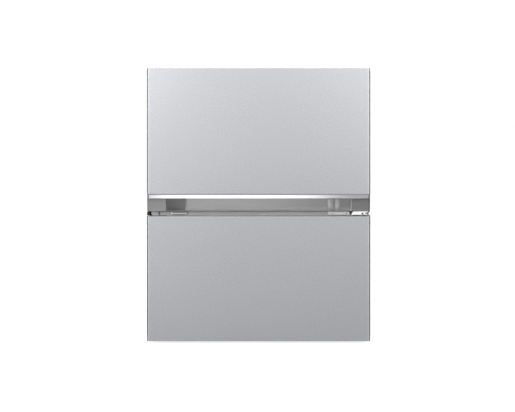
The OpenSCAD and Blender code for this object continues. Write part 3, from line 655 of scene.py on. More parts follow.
def slot_finish(slot: str) -> Finish:
    """Returns the finish of a material slot of the record."""
    return getattr(Finishes, slot)


@functools.cache
def painted(finish: Finish) -> Material:
    """Returns the finish's material, which is built the first time it is asked for."""
    return principled(finish.name, finish.values)


def dress_frame() -> None:
    """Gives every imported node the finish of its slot."""
    for part in frame["record"]["subparts"]:
        node = frame["nodes"][part["node"]]
        for place in node.material_slots:
            place.material = painted(NODE_FINISH.get(part["node"], slot_finish(part["material_slot"])))
    log.info("finished %d packed nodes", len(frame["nodes"]))


# Repeated forms


def mm(x: float, y: float, z: float) -> Point:
    """Turns millimetres into metres."""
    return (x / 1000, y / 1000, z / 1000)


@dataclass(frozen=True)
class Recipe:
    """A form that repeats or follows a path, built once as a geometry node tree.

    Attributes:
        name: the tree's name.
        inputs: its inputs and their usual values, besides the geometry and the material.
        build: given its tree and its inputs, returns the form.
    """

    name: str
    inputs: dict[str, object]
    build: Callable[[Tree, Sockets], Socket]

    def group(self) -> bpy.types.NodeTree:
        """Returns the tree, which is made the first time it is asked for.

        Returns:
            The tree.
        """
        found = bpy.data.node_groups.get(self.name)
        if found:
            return found
        inputs = {"Geometry": "Geometry"} | self.inputs | {"Material": "Material"}
        tree, given, result = new_group(self.name, "GeometryNodeTree", inputs, {"Geometry": "Geometry"})
        whole = tree.get("GeometryNodeRealizeInstances", self.build(tree, given.outputs))
        tree.fill(result.inputs[0],
                  tree.get("GeometryNodeSetMaterial", Geometry=whole, Material=given.outputs["Material"]))
        return tree.tree

    def bake(self, material: Material, points: Sequence[Point], closed: bool = False,
             **values: object) -> bpy.types.Mesh:
        """Runs the tree and keeps its result as a plain mesh.

        Args:
            material: what the form is made of.
            points: the vertices that the tree starts from, in millimetres, joined in a chain.
            closed: whether the chain's end meets its start.
            values: inputs by name.

        Returns:
            The mesh.
        """
        count = len(points)
        chain = [(i, (i + 1) % count) for i in range(count if closed else max(count - 1, 0))]
        start = bpy.data.meshes.new("start")
        start.from_pydata([mm(*point) for point in points], chain, [])
        host = placed("host", start)
        modifier = host.modifiers.new("recipe", "NODES")
        modifier.node_group = self.group()
        values["Material"] = material
        for item in modifier.node_group.interface.items_tree:
            if item.in_out == "INPUT" and item.name in values:
                modifier[item.identifier] = values[item.name]
        mesh = bpy.data.meshes.new_from_object(host.evaluated_get(bpy.context.evaluated_depsgraph_get()))
        host.modifiers.remove(modifier)
        bpy.data.objects.remove(host)
        return mesh


def scatter(tree: Tree, given: Sockets, *forms: Socket) -> Socket:
    """Places the joined forms on every given point, turned as asked.

    Args:
        tree: the recipe's tree.
        given: its inputs.
        forms: the forms to place.

    Returns:
        The placed forms.
    """
    whole = tree.add("GeometryNodeJoinGeometry")
    for form in forms:
        tree.fill(whole.inputs[0], form)
    return tree.get("GeometryNodeInstanceOnPoints", Points=given["Geometry"], Instance=whole.outputs[0],
                    Rotation=given["Turn"])


def build_bars(tree: Tree, given: Sockets) -> Socket:
    """Fills the recipe for a row of equal bars.

    Args:
        tree: the recipe's tree.
        given: its inputs.

    Returns:
        The form.
    """
    row = tree.get("GeometryNodeMeshLine", mode="OFFSET", Count=given["Count"], Start_Location=given["Start"],
                   Offset=given["Step"])
    bar = tree.get("GeometryNodeMeshCube", Size=given["Size"])
    return tree.get("GeometryNodeInstanceOnPoints", Points=row, Instance=bar)


def build_heads(tree: Tree, given: Sockets) -> Socket:
    """Fills the recipe for low round heads at the given points.

    Args:
        tree: the recipe's tree.
        given: its inputs.

    Returns:
        The form.
    """
    radius, height = given["Radius"], given["Height"]
    head = tree.get("GeometryNodeMeshCylinder", Vertices=HEAD_SIDES, Radius=radius, Depth=height)
    crown = tree.get("GeometryNodeMeshCone", Vertices=HEAD_SIDES, Radius_Bottom=radius,
                     Radius_Top=tree.math("MULTIPLY", radius, CROWN_TOP),
                     Depth=tree.math("MULTIPLY", height, CROWN_HEIGHT))
    lift = tree.get("ShaderNodeCombineXYZ", Z=tree.math("MULTIPLY", height, 0.5))
    return scatter(tree, given, tree.get("GeometryNodeTransform", Geometry=crown, Translation=lift), head)


def build_crosses(tree: Tree, given: Sockets) -> Socket:
    """Fills the recipe for the cross recesses of screws at the given points.

    Args:
        tree: the recipe's tree.
        given: its inputs.

    Returns:
        The form.
    """
    slots = []
    for axes in ("XY", "YX"):
        sides = {axis: tree.math("MULTIPLY", given["Radius"], share) for axis, share in zip(axes, CROSS_SLOT)}
        size = tree.get("ShaderNodeCombineXYZ", Z=given["Height"], **sides)
        slots.append(tree.get("GeometryNodeMeshCube", Size=size))
    return scatter(tree, given, *slots)


def build_ring(tree: Tree, given: Sockets) -> Socket:
    """Fills the recipe for bars that stand round a circle and point away from its middle.

    Args:
        tree: the recipe's tree.
        given: its inputs.

    Returns:
        The form.
    """
    circle = tree.get("GeometryNodeMeshCircle", Vertices=given["Count"], Radius=given["Radius"])
    bar = tree.get("GeometryNodeMeshCube", Size=given["Size"])
    share = tree.math("DIVIDE", tree.get("GeometryNodeInputIndex"), given["Count"])
    spin = tree.get("ShaderNodeCombineXYZ", Z=tree.math("MULTIPLY", share, math.tau))
    copies = tree.get("GeometryNodeInstanceOnPoints", Points=circle, Instance=bar, Rotation=spin)
    return tree.get("GeometryNodeTransform", Geometry=copies, Translation=given["Place"],
                    Rotation=given["Turn"])


def build_strand(tree: Tree, given: Sockets) -> Socket:
    """Fills the recipe for a round strand along the given chain, with rounded bends.

    Args:
        tree: the recipe's tree.
        given: its inputs.

    Returns:
        The form.
    """
    line = tree.get("GeometryNodeMeshToCurve", Mesh=given["Geometry"])
    bend = tree.get("GeometryNodeFilletCurve", mode="POLY", Curve=line, Count=BEND_STEPS,
                    Radius=given["Bend"])
    circle = tree.get("GeometryNodeCurvePrimitiveCircle", Resolution=STRAND_SIDES, Radius=given["Radius"])
    sweep = tree.get("GeometryNodeCurveToMesh", Curve=bend, Profile_Curve=circle, Fill_Caps=True)
    return tree.get("GeometryNodeSetShadeSmooth", Geometry=sweep)


STUD = {"Radius": 0.003, "Height": 0.001, "Turn": ORIGIN}
BARS = Recipe("row_of_bars", {"Count": 4, "Start": ORIGIN, "Step": ORIGIN, "Size": ORIGIN}, build_bars)
HEADS = Recipe("screw_heads", STUD, build_heads)
CROSSES = Recipe("screw_recesses", STUD, build_crosses)
RING = Recipe("ring_of_bars", {"Count": 12, "Radius": 0.01, "Size": ORIGIN, "Place": ORIGIN, "Turn": ORIGIN},
              build_ring)
STRAND = Recipe("round_strand", {"Radius": 0.001, "Bend": 0.01}, build_strand)


class Facing(Enum):
    """Where a flat thing faces, as the turn that takes +Z there."""

    FRONT = (math.pi / 2, 0.0, 0.0)
    BACK = (-math.pi / 2, 0.0, 0.0)
    UP = (0.0, 0.0, 0.0)
    DOWN = (math.pi, 0.0, 0.0)
    RIGHT = (0.0, math.pi / 2, 0.0)
    LEFT = (0.0, -math.pi / 2, 0.0)


@dataclass
class Workshop:
    """Makes pieces, gives them their finish and fixes them to a body of the frame.

    Its sizes are in millimetres. Every piece takes its name, the body it moves with, the record's
    material slot and, if it isn't the slot's own, a finish.

    Attributes:
        made: the names of the pieces so far.
    """

    made: list[str] = field(default_factory=list)

    def keep(self, name: str, body: str, slot: str, mesh: bpy.types.Mesh) -> None:
        """Puts a finished mesh in the scene as a piece that rides a body.

        Args:
            name: its name.
            body: the body that it rides.
            slot: its material slot in the record.
            mesh: its mesh.
        """
        mesh.name = name
        piece = placed(name, mesh)
        if not mesh.materials:
            mesh.materials.append(painted(slot_finish(slot)))
        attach(piece, body)
        self.made.append(name)

    def solid(self, name: str, body: str, slot: str, shape: Shape, finish: Finish | None = None) -> None:
        """Keeps a shape made with bmesh, which is freed.

        Args:
            name: its name.
            body: the body that it rides.
            slot: its material slot in the record.
            shape: its shape.
            finish: its finish, if it isn't the slot's own.
        """
        bmesh.ops.recalc_face_normals(shape, faces=shape.faces)
        mesh = bpy.data.meshes.new(name)
        shape.to_mesh(mesh)
        shape.free()
        if finish:
            mesh.materials.append(painted(finish))
        self.keep(name, body, slot, mesh)

    def recipe(self, name: str, body: str, slot: str, recipe: Recipe, points: Sequence[Point] = (),
               closed: bool = False, finish: Finish | None = None, **values: object) -> None:
        """Keeps what a recipe makes of points and of its own inputs, which are in metres."""
        mesh = recipe.bake(painted(finish or slot_finish(slot)), points, closed, **values)
        self.keep(name, body, slot, mesh)

    def strand(self, name: str, body: str, slot: str, points: Sequence[Point], radius: float,
               bend: float = 0.0, closed: bool = False, finish: Finish | None = None) -> None:
        """Keeps a round strand along some points, with rounded bends."""
        self.recipe(name, body, slot, STRAND, points, closed, finish, Radius=radius / 1000, Bend=bend / 1000)

    def bars(self, name: str, body: str, slot: str, count: int, start: Point, step: Point, size: Point,
             finish: Finish | None = None) -> None:
        """Keeps a row of equal bars, given the middle of the first and the step to the next."""
        self.recipe(name, body, slot, BARS, finish=finish, Count=count, Start=mm(*start), Step=mm(*step),
                    Size=mm(*size))

    def ring(self, name: str, body: str, slot: str, count: int, radius: float, size: Point, place: Point,
             facing: Facing) -> None:
        """Keeps a ring of equal bars round a place."""
        self.recipe(name, body, slot, RING, Count=count, Radius=radius / 1000, Size=mm(*size),
                    Place=mm(*place), Turn=facing.value)

    def heads(self, name: str, body: str, slot: str, points: Sequence[Point], facing: Facing, radius: float,
              height: float, finish: Finish | None = None, recipe: Recipe = HEADS) -> None:
        """Keeps low round heads, or another form that stands on points, facing one way."""
        self.recipe(name, body, slot, recipe, points, finish=finish, Radius=radius / 1000,
                    Height=height / 1000, Turn=facing.value)

    def screws(self, name: str, slot: str, points: Sequence[Point], facing: Facing, radius: float,
               height: float) -> None:
        """Sets cross-head screws in the cabinet, with near-black crosses that paint the shade of their
        recesses.

        Args:
            name: the start of both pieces' names.
            slot: the heads' material slot.
            points: where the screws stand.
            facing: where their heads face.
            radius: the radius of a head.
            height: the height of a head.
        """
        lift = Euler(facing.value).to_matrix() @ Vector((0, 0, RECESS_LIFT * height))
        self.heads(name + "_heads", "cabinet", slot, points, facing, radius, height)
        tops = [tuple(Vector(point) + lift) for point in points]
        self.heads(name + "_recesses", "cabinet", "screw_steel", tops, facing, radius, RECESS_HEIGHT,
                   Finishes.recess, CROSSES)


# Shapes, in millimetres


def rounded(shape: Shape, round_off: float, segments: int = 2) -> Shape:
    """Rounds off all the edges of a shape.

    Args:
        shape: the shape.
        round_off: the radius of the roundings.
        segments: the number of faces across each of them.

    Returns:
        The same shape.
    """
    bmesh.ops.bevel(shape, geom=shape.edges[:], offset=round_off / 1000, segments=segments, affect="EDGES",
                    profile=0.5)
    return shape


def block(low: Point, high: Point, round_off: float = 0.0) -> Shape:
    """Makes a block from corner to corner, with its edges rounded off if asked.

    Args:
        low: its lowest corner.
        high: its highest corner.
        round_off: the radius of its edges.

    Returns:
        The block.
    """
    shape = bmesh.new()
    bmesh.ops.create_cube(shape, size=1.0)
    near, far = Vector(mm(*low)), Vector(mm(*high))
    bmesh.ops.scale(shape, vec=far - near, verts=shape.verts)
    bmesh.ops.translate(shape, vec=(near + far) / 2, verts=shape.verts)
    return rounded(shape, round_off) if round_off else shape


def drawn(outline: Outline, low: float, high: float) -> Shape:
    """Draws a closed outline in Y and Z out along X.

    Args:
        outline: points in Y and Z.
        low: where it starts in X.
        high: where it ends.

    Returns:
        The shape.
    """
    shape = bmesh.new()
    ends = [[shape.verts.new(mm(x, y, z)) for y, z in outline] for x in (low, high)]
    shape.faces.new(ends[0])
    shape.faces.new(ends[1])
    for here, there in zip(range(len(outline)), [*range(1, len(outline)), 0]):
        shape.faces.new((ends[0][here], ends[0][there], ends[1][there], ends[1][here]))
    return shape


def stamped(outline: Outline, front: float, rear: float) -> Shape:
    """Draws a closed outline in X and Z out along Y.

    Args:
        outline: points in X and Z.
        front: where it starts in Y.
        rear: where it ends.

    Returns:
        The shape.
    """
    shape = drawn(outline, front, rear)
    for corner in shape.verts:
        corner.co = (corner.co.y, corner.co.x, corner.co.z)
    return shape


def turned(outline: Outline, place: Point, facing: Facing, steps: int = 36) -> Shape:
    """Turns a closed outline of radius and height round an axis.

    Args:
        outline: points of radius and height.
        place: where the axis starts.
        facing: where the axis points.
        steps: the number of faces round the axis.

    Returns:
        The shape.
    """
    shape = bmesh.new()
    rings = []
    for step in range(steps):
        angle = math.tau * step / steps
        rings.append([shape.verts.new(mm(r * math.cos(angle), r * math.sin(angle), h)) for r, h in outline])
    for step, ring in enumerate(rings):
        after = rings[(step + 1) % steps]
        for here in range(len(outline)):
            there = (here + 1) % len(outline)
            shape.faces.new([ring[here], after[here], after[there], ring[there]])
    bmesh.ops.remove_doubles(shape, verts=shape.verts, dist=1e-7)
    turn = Euler(facing.value).to_matrix().to_4x4()
    bmesh.ops.transform(shape, matrix=Matrix.Translation(mm(*place)) @ turn, verts=shape.verts)
    for face in shape.faces:
        face.smooth = True
    return shape


def merged(*shapes: Shape) -> Shape:
    """Joins shapes into the first of them and frees the others.

    Args:
        shapes: the shapes, one or more.

    Returns:
        The first of them, with the others in it.
    """
    first = shapes[0]
    for shape in shapes[1:]:
        spare = bpy.data.meshes.new("spare")
        shape.to_mesh(spare)
        shape.free()
        first.from_mesh(spare)
        bpy.data.meshes.remove(spare)
    return first


def upright_ring(half: float, low: float, high: float, depth: float) -> list[Point]:
    """Corners of an upright rectangle at a given depth."""
    return [(-half, depth, low), (half, depth, low), (half, depth, high), (-half, depth, high)]


# Sub-assemblies, in millimetres


@dataclass
class DoorFront:
    """What shows on the doors and in the gap between them.

    Attributes:
        face: the depth of the doors' faces.
        band_top: the upper edge of the sloping band, in Y and Z.
        band_foot: its lower edge.
        scoop: the left and right end of the scoop in the band.
        scoop_deep: how far the scoop lies behind the band.
        ribs: the middles of the two ribs.
        rib_half: half a rib's width.
        cover_from: where the right end cover starts.
        arm_face: the depth of the hinge arm's front.
        gap: the lower and upper edge of the gap between the doors.
        middle: the height of the gap's middle line.
        plug: the left and right end of the plug in the gap.
        plate: the left and right end of the hinge plate.
        plate_screws: the places of its screws.
        mouth: half the width, the lower and the upper edge of the fridge compartment's mouth.
        mouth_round: the radius of its corners.
        hinge_x: the hinges' axis.
        top: the height of the upper door's end.
    """

    face: float = -300.0
    band_top: tuple[float, float] = (-274.0, 388.0)
    band_foot: tuple[float, float] = (-264.0, 351.5)
    scoop: tuple[float, float] = (-247.4, -197.0)
    scoop_deep: float = 6.5
    ribs: tuple[float, float] = (192.1, 210.9)
    rib_half: float = 6.5
    cover_from: float = 249.0
    arm_face: float = -286.0
    gap: tuple[float, float] = (341.0, 350.0)
    middle: float = 345.25
    plug: tuple[float, float] = (-234.5, -192.0)
    plate: tuple[float, float] = (186.8, 244.6)
    plate_screws: tuple[float, float] = (199.0, 237.0)
    mouth: tuple[float, float, float] = (248.0, 370.0, 691.0)
    mouth_round: float = 13.5
    hinge_x: float = 275.5
    top: float = 731.5

    def liner_edges(self, shop: Workshop) -> None:
        """Seals the liners' edges on the doors and rounds the corners of the upper compartment's mouth.

        Args:
            shop: the workshop that keeps the pieces.
        """
        for door, low, high in (("fridge_door", 356.0, 720.0), ("freezer_door", 31.5, 327.0)):
            beads = [block((left, -253.1, low), (left + 2.3, -249.4, high), 0.3) for left in (-288.9, 286.6)]
            shop.solid(door + "_edge_bead", door, "liner_white", merged(*beads))
        half, foot, head = self.mouth
        arc = [math.radians(90 * step / 8) for step in range(9)]
        corners = []
        for side in (-1, 1):
            for z, up in ((foot, 1), (head, -1)):
                outline = [(side * (half + 0.2), z)]
                outline += [(side * (half - self.mouth_round * (1 - math.cos(turn))),
                             z + up * self.mouth_round * (1 - math.sin(turn))) for turn in arc]
                corners.append(stamped(outline, -236.1, -233.5))
        shop.solid("mouth_corners", "cabinet", "liner_white", merged(*corners))

    def seams(self, shop: Workshop) -> None:
        """Lays painted shade lines in dark gray: one over the bright strip's upper edge, where the door skin
        shades it, and one along the lower door's upper edge.

        Args:
            shop: the workshop that keeps the pieces.
        """
        # Painted shade lines: name, door, half width, lower edge, upper edge and depth.
        lines = (("strip_seal", "fridge_door", 292.3, 394.4, 398.0, 1.6),
                 ("lower_door_hem", "freezer_door", 294.5, 337.3, 338.8, 1.0))
        for name, door, half, low, high, depth in lines:
            line = block((-half, self.face - 0.05, low), (half, self.face + depth, high), 0.2)
            shop.solid(name, door, "gasket_gray", line, Finishes.seal)

    def band_at(self, z: float, deep: float) -> tuple[float, float]:
        """Finds a place in Y and Z on the sloping band.

        Args:
            z: its height on the band's face.
            deep: how far it lies behind the face.

        Returns:
            The place.
        """
        top, foot = Vector(self.band_top), Vector(self.band_foot)
        run = (foot - top).normalized()
        inward = Vector((-run.y, run.x))
        place = top + run * (self.band_top[1] - z) / -run.y + inward * deep
        return place.x, place.y

    def band(self, shop: Workshop) -> None:
        """Lines the scoop, rounds the two ribs in a lighter tone that paints their highlight, lays painted
        shade lines at the ends of the band and gives the right end cover a painted shade.

        Args:
            shop: the workshop that keeps the pieces.
        """

        def trim(name: str, outline: Outline, ends: tuple[float, float], finish: Finish) -> None:
            """Keeps a trim drawn out between two ends."""
            shop.solid(name, "fridge_door", "grip_gray", drawn(outline, *ends), finish)

        high, low = self.band_at(386.0, self.scoop_deep), self.band_at(352.6, self.scoop_deep)
        left, right = self.scoop
        lining = [high, low, (low[0] + 0.3, low[1]), (high[0] + 0.3, high[1])]
        trim("scoop_lining", lining, self.scoop, Finishes.scoop)
        lip = [(-292.6, 386.0), (-286.0, 351.6), (-285.4, 351.6), (-292.0, 386.0)]
        trim("left_cover_lip", lip, (-253.5, left), Finishes.end_cover)
        trim("scoop_side", [(-291.9, 386.0), (-285.3, 351.7), low, high], (left - 2.9, left - 0.1),
             Finishes.scoop)
        foot = [(-265.2, 351.4), (-265.2, 354.6), low, (low[0], 351.4)]
        trim("scoop_foot", foot, (left, right - 2.5), Finishes.scoop)
        corners = [self.band_at(z, deep)
                   for z, deep in ((386.0, -2.4), (353.4, -2.4), (353.4, 1.8), (386.0, 1.8))]
        # Real rounded ribs, in a lighter tone that paints their highlight.
        for number, x in enumerate(self.ribs):
            rib = rounded(drawn(corners, x - self.rib_half, x + self.rib_half), 1.8, segments=3)
            for facet in rib.faces:
                facet.smooth = True
            shop.solid(f"band_rib_{number}", "fridge_door", "grip_gray", rib, Finishes.rib)
        # Painted shade lines where the band's ends turn away.
        edge = [(-292.3, 385.0), (-285.9, 351.7), (-284.0, 351.7), (-290.0, 385.0)]
        trim("band_edge_left", edge, (-297.0, -295.4), Finishes.edge)
        trim("band_edge_right", edge, (293.9, 297.0), Finishes.edge)
        # The right end cover's face in a darker tone, a painted shade.
        cover = [(-292.2, 385.4), (-285.7, 351.6), (-285.0, 351.6), (-291.0, 385.4)]
        trim("right_cover_face", cover, (self.cover_from, 293.8), Finishes.cover_right)
        # A real rounded bead at the right cover's edge, in a lighter tone that paints its highlight.
        bead = [(self.cover_from - 1.6, y, z) for y, z in ((-290.6, 384.6), (-284.4, 352.8))]
        shop.strand("right_cover_bead", "fridge_door", "grip_gray", bead, 2.0, finish=Finishes.cap_gray)

    def gap_faces(self, shop: Workshop) -> None:
        """Faces the plug and the hinge plate, lays a painted shade in the recess beside the plate, and sets
        the black buffer.

        Args:
            shop: the workshop that keeps the pieces.
        """
        low, high = self.gap
        left, right = self.plug
        plug = block((left, -245.2, self.middle - 2.1), (right, -244.0, self.middle + 2.1), 0.2)
        shop.solid("plug_face", "cabinet", "cap_gray", plug, Finishes.plate)
        left, right = self.plate
        plate = block((left, -246.4, low), (right, -243.9, high + 0.1), 0.3)
        shop.solid("hinge_plate_face", "cabinet", "hinge_steel", plate, Finishes.plate)
        shop.heads("plate_screw_ends", "cabinet", "screw_steel",
                   [(x, -246.4, self.middle) for x in self.plate_screws], Facing.FRONT, 1.4, 0.3,
                   finish=Finishes.seal)
        # Painted shade where the hinge bends back beside the plate.
        bend = [(right, self.middle - 1.2), (right + 3.0, self.middle - 1.2),
                (right + 6.5, self.middle + 1.5), (right + 9.0, high + 1.2), (right - 0.5, high + 1.2)]
        shop.solid("hinge_bend_recess", "cabinet", "screw_steel", stamped(bend, -247.6, -246.0),
                   Finishes.recess_side)
        end = [(-288.3, 343.2), (-285.3, 340.2), (-269.0, 340.2), (-269.0, high + 0.4), (-288.3, high + 0.4)]
        shop.solid("gap_end_face", "cabinet", "rail_gray", stamped(end, -247.6, -245.0))
        shop.solid("gap_bumper", "cabinet", "black_plastic",
                   block((-300.2, -250.0, 339.9), (-290.8, -241.0, 351.2), 2.0))

    def hinge_arm(self, shop: Workshop) -> None:
        """Covers the hinge arm's front with a white slip and adds a dark disc at its pin and painted shade
        lines at its notch and under it.

        Args:
            shop: the workshop that keeps the pieces.
        """
        low, high = self.gap
        slip = [(247.6, low + 0.4), (291.0, low + 0.4), (285.4, self.middle), (295.6, high + 0.6),
                (252.6, high + 0.6)]
        shop.solid("hinge_arm_slip", "cabinet", "nylon", stamped(slip, self.arm_face - 1.2, self.arm_face),
                   Finishes.slip)
        # A dark disc paints the shade in the pin's hole.
        pin = turned([(0.0, 0.0), (2.6, 0.0), (2.6, 0.4), (0.0, 0.5)],
                     (self.hinge_x + 1.8, self.arm_face - 1.2, self.middle), Facing.FRONT, 16)
        shop.solid("hinge_pin_end", "cabinet", "screw_steel", pin, Finishes.edge)
        # Painted shade lines: the notch's two edges and the line under the arm.
        lines = (("notch_upper", (284.7, 345.6), (296.6, 350.9)),
                 ("notch_lower", (290.0, 342.1), (296.8, 340.2)),
                 ("arm_shade", (250.5, 341.0), (288.0, 341.0)))
        for name, *ends in lines:
            line = [(x, self.arm_face - 1.0, z) for x, z in ends]
            shop.strand("hinge_" + name, "cabinet", "hinge_steel", line, 1.1, finish=Finishes.edge)

    def top_fittings(self, shop: Workshop) -> None:
        """Plugs the holes that let the doors be hung on the other side, and screws the hinge cover down.

        Args:
            shop: the workshop that keeps the pieces.
        """
        holes = [(x - self.hinge_x, y, 723.6) for x, y in ((50, -222), (50, -196), (-2, -196))]
        shop.heads("hinge_hole_plugs", "cabinet", "cap_gray", holes, Facing.UP, 4.2, 1.4)
        shop.heads("door_top_plug", "fridge_door", "cap_gray", [(-self.hinge_x, -276, self.top)], Facing.UP,
                   7.8, 0.8)
        shop.screws("cover_screw", "screw_steel", [(226, -203, self.top)], Facing.UP, 3.4, 0.7)
        grooves = [block((-280, y, self.top - 0.2), (240, y + 1.2, self.top + 0.15)) for y in (-284, -262)]
        shop.solid("door_top_lines", "fridge_door", "cap_gray", merged(*grooves))

    def build(self, shop: Workshop) -> None:
        """Builds all of it.

        Args:
            shop: the workshop that keeps the pieces.
        """
        self.liner_edges(shop)
        self.seams(shop)
        self.band(shop)
        self.gap_faces(shop)
        self.hinge_arm(shop)
        self.top_fittings(shop)


@dataclass
class Gasket:
    """The folds, fine beads and mitred corners of one door's magnetic gasket.

    Attributes:
        body: the door that it rides.
        low: its lower edge.
        high: its upper edge.
        half: half its width across.
        width: the width of its band.
        face: the depth of its face.
    """

    body: str
    low: float
    high: float
    half: float = 272.0
    width: float = 16.0
    face: float = -236.3

    def build(self, shop: Workshop) -> None:
        """Runs folds and beads round the gasket and marks the welded joint across each corner.

        Args:
            shop: the workshop that keeps the pieces.
        """
        inner = self.width - 0.4
        rounds = (("outer_front", 2.2, -240.6, 1.0, 3.0), ("outer_rear", 2.2, -244.2, 1.0, 3.0),
                  ("inner_front", inner, -240.6, 1.0, 3.0), ("inner_rear", inner, -244.2, 1.0, 3.0),
                  ("bead_0", 4.0, self.face + 0.15, 0.4, 2.5), ("bead_1", 12.0, self.face + 0.15, 0.4, 2.5))
        for name, inset, depth, radius, bend in rounds:
            line = upright_ring(self.half - inset, self.low + inset, self.high - inset, depth)
            shop.strand(f"{self.body}_gasket_{name}", self.body, "gasket_gray", line, radius, bend,
                        closed=True)
        sides = ((-1, self.low, 1), (1, self.low, 1), (1, self.high, -1), (-1, self.high, -1))
        for number, (side, edge, up) in enumerate(sides):
            line = [(side * (self.half - inset), self.face + 0.1, edge + up * inset)
                    for inset in (1.2, inner)]
            shop.strand(f"{self.body}_gasket_mitre_{number}", self.body, "gasket_gray", line, 0.35,
                        finish=Finishes.seam)


@dataclass
class DoorBin:
    """Trims and ribs of one door bin.

    Attributes:
        name: the bin's name.
        low: its bottom.
        high: its rim.
        half: half its width across.
        front: the depth of its front.
        pitch: the distance between its ribs.
    """

    name: str
    low: float
    high: float
    half: float = 200.0
    front: float = -156.0
    pitch: float = 20.0

    def build(self, shop: Workshop) -> None:
        """Builds the retaining strip, the ribs of the front and those of the bottom.

        Args:
            shop: the workshop that keeps the pieces.
        """
        strip = block((-self.half + 15, self.front - 0.1, self.high - 17),
                      (self.half - 15, self.front + 1.3, self.high - 6), 0.4)
        shop.solid(self.name + "_strip", "fridge_door", "liner_white", strip)
        count = int((2 * self.half - 60) / self.pitch) + 1
        start = -(count - 1) * self.pitch / 2
        shop.bars(self.name + "_front_ribs", "fridge_door", "clear_plastic", count,
                  (start, self.front + 0.3, (self.low + self.high) / 2 - 11), (self.pitch, 0, 0),
                  (1.6, 0.9, self.high - self.low - 34))
        shop.bars(self.name + "_floor_ribs", "fridge_door", "clear_plastic", count,
                  (start, -201.5, self.low + 2.7), (self.pitch, 0, 0), (1.6, 70, 0.8))


@dataclass
class BottleClip:
    """White clip that slides along the rim of the lower door bin.

    Attributes:
        at: its place across.
        half: half its width.
        rim: the height of the bin's rim.
    """

    at: float = 72.0
    half: float = 17.0
    rim: float = 482.0

    def build(self, shop: Workshop) -> None:
        """Builds the saddle over the rim, its inner plate and the two fingers.

        Args:
            shop: the workshop that keeps the pieces.
        """
        left, right = self.at - self.half, self.at + self.half
        forms = [block((left, -160.2, self.rim), (right, -153.2, self.rim + 1.6), 0.5),
                 block((left, -160.6, self.rim - 26), (right, -159.0, self.rim + 1.0), 0.5)]
        forms += [block((x, -186, self.rim - 26), (x + 2.4, -160.2, self.rim - 8), 0.6)
                  for x in (left, right - 2.4)]
        shop.solid("bottle_clip", "fridge_door", "liner_white", merged(*forms))


@dataclass
class GlassEdge:
    """White trims along the front and the back of one glass sheet.

    Attributes:
        name: the sheet's name.
        low: the sheet's underside.
    """

    name: str
    low: float

    def build(self, shop: Workshop) -> None:
        """Builds both trims and the fine groove of the front one.

        Args:
            shop: the workshop that keeps the pieces.
        """
        trims = (("front_trim", "liner_white", 244.3, -153.4, -142.4, -2.6, 5.6, 1.4),
                 ("back_trim", "liner_white", 244.3, 181.4, 190.4, -1.6, 9.0, 1.2),
                 ("trim_line", "trim_bright", 240.3, -153.5, -153.0, -0.2, 0.4, 0.0))
        for name, slot, half, near, far, low, high, round_off in trims:
            trim = block((-half, near, self.low + low), (half, far, self.low + high), round_off)
            shop.solid(f"{self.name}_{name}", "cabinet", slot, trim)


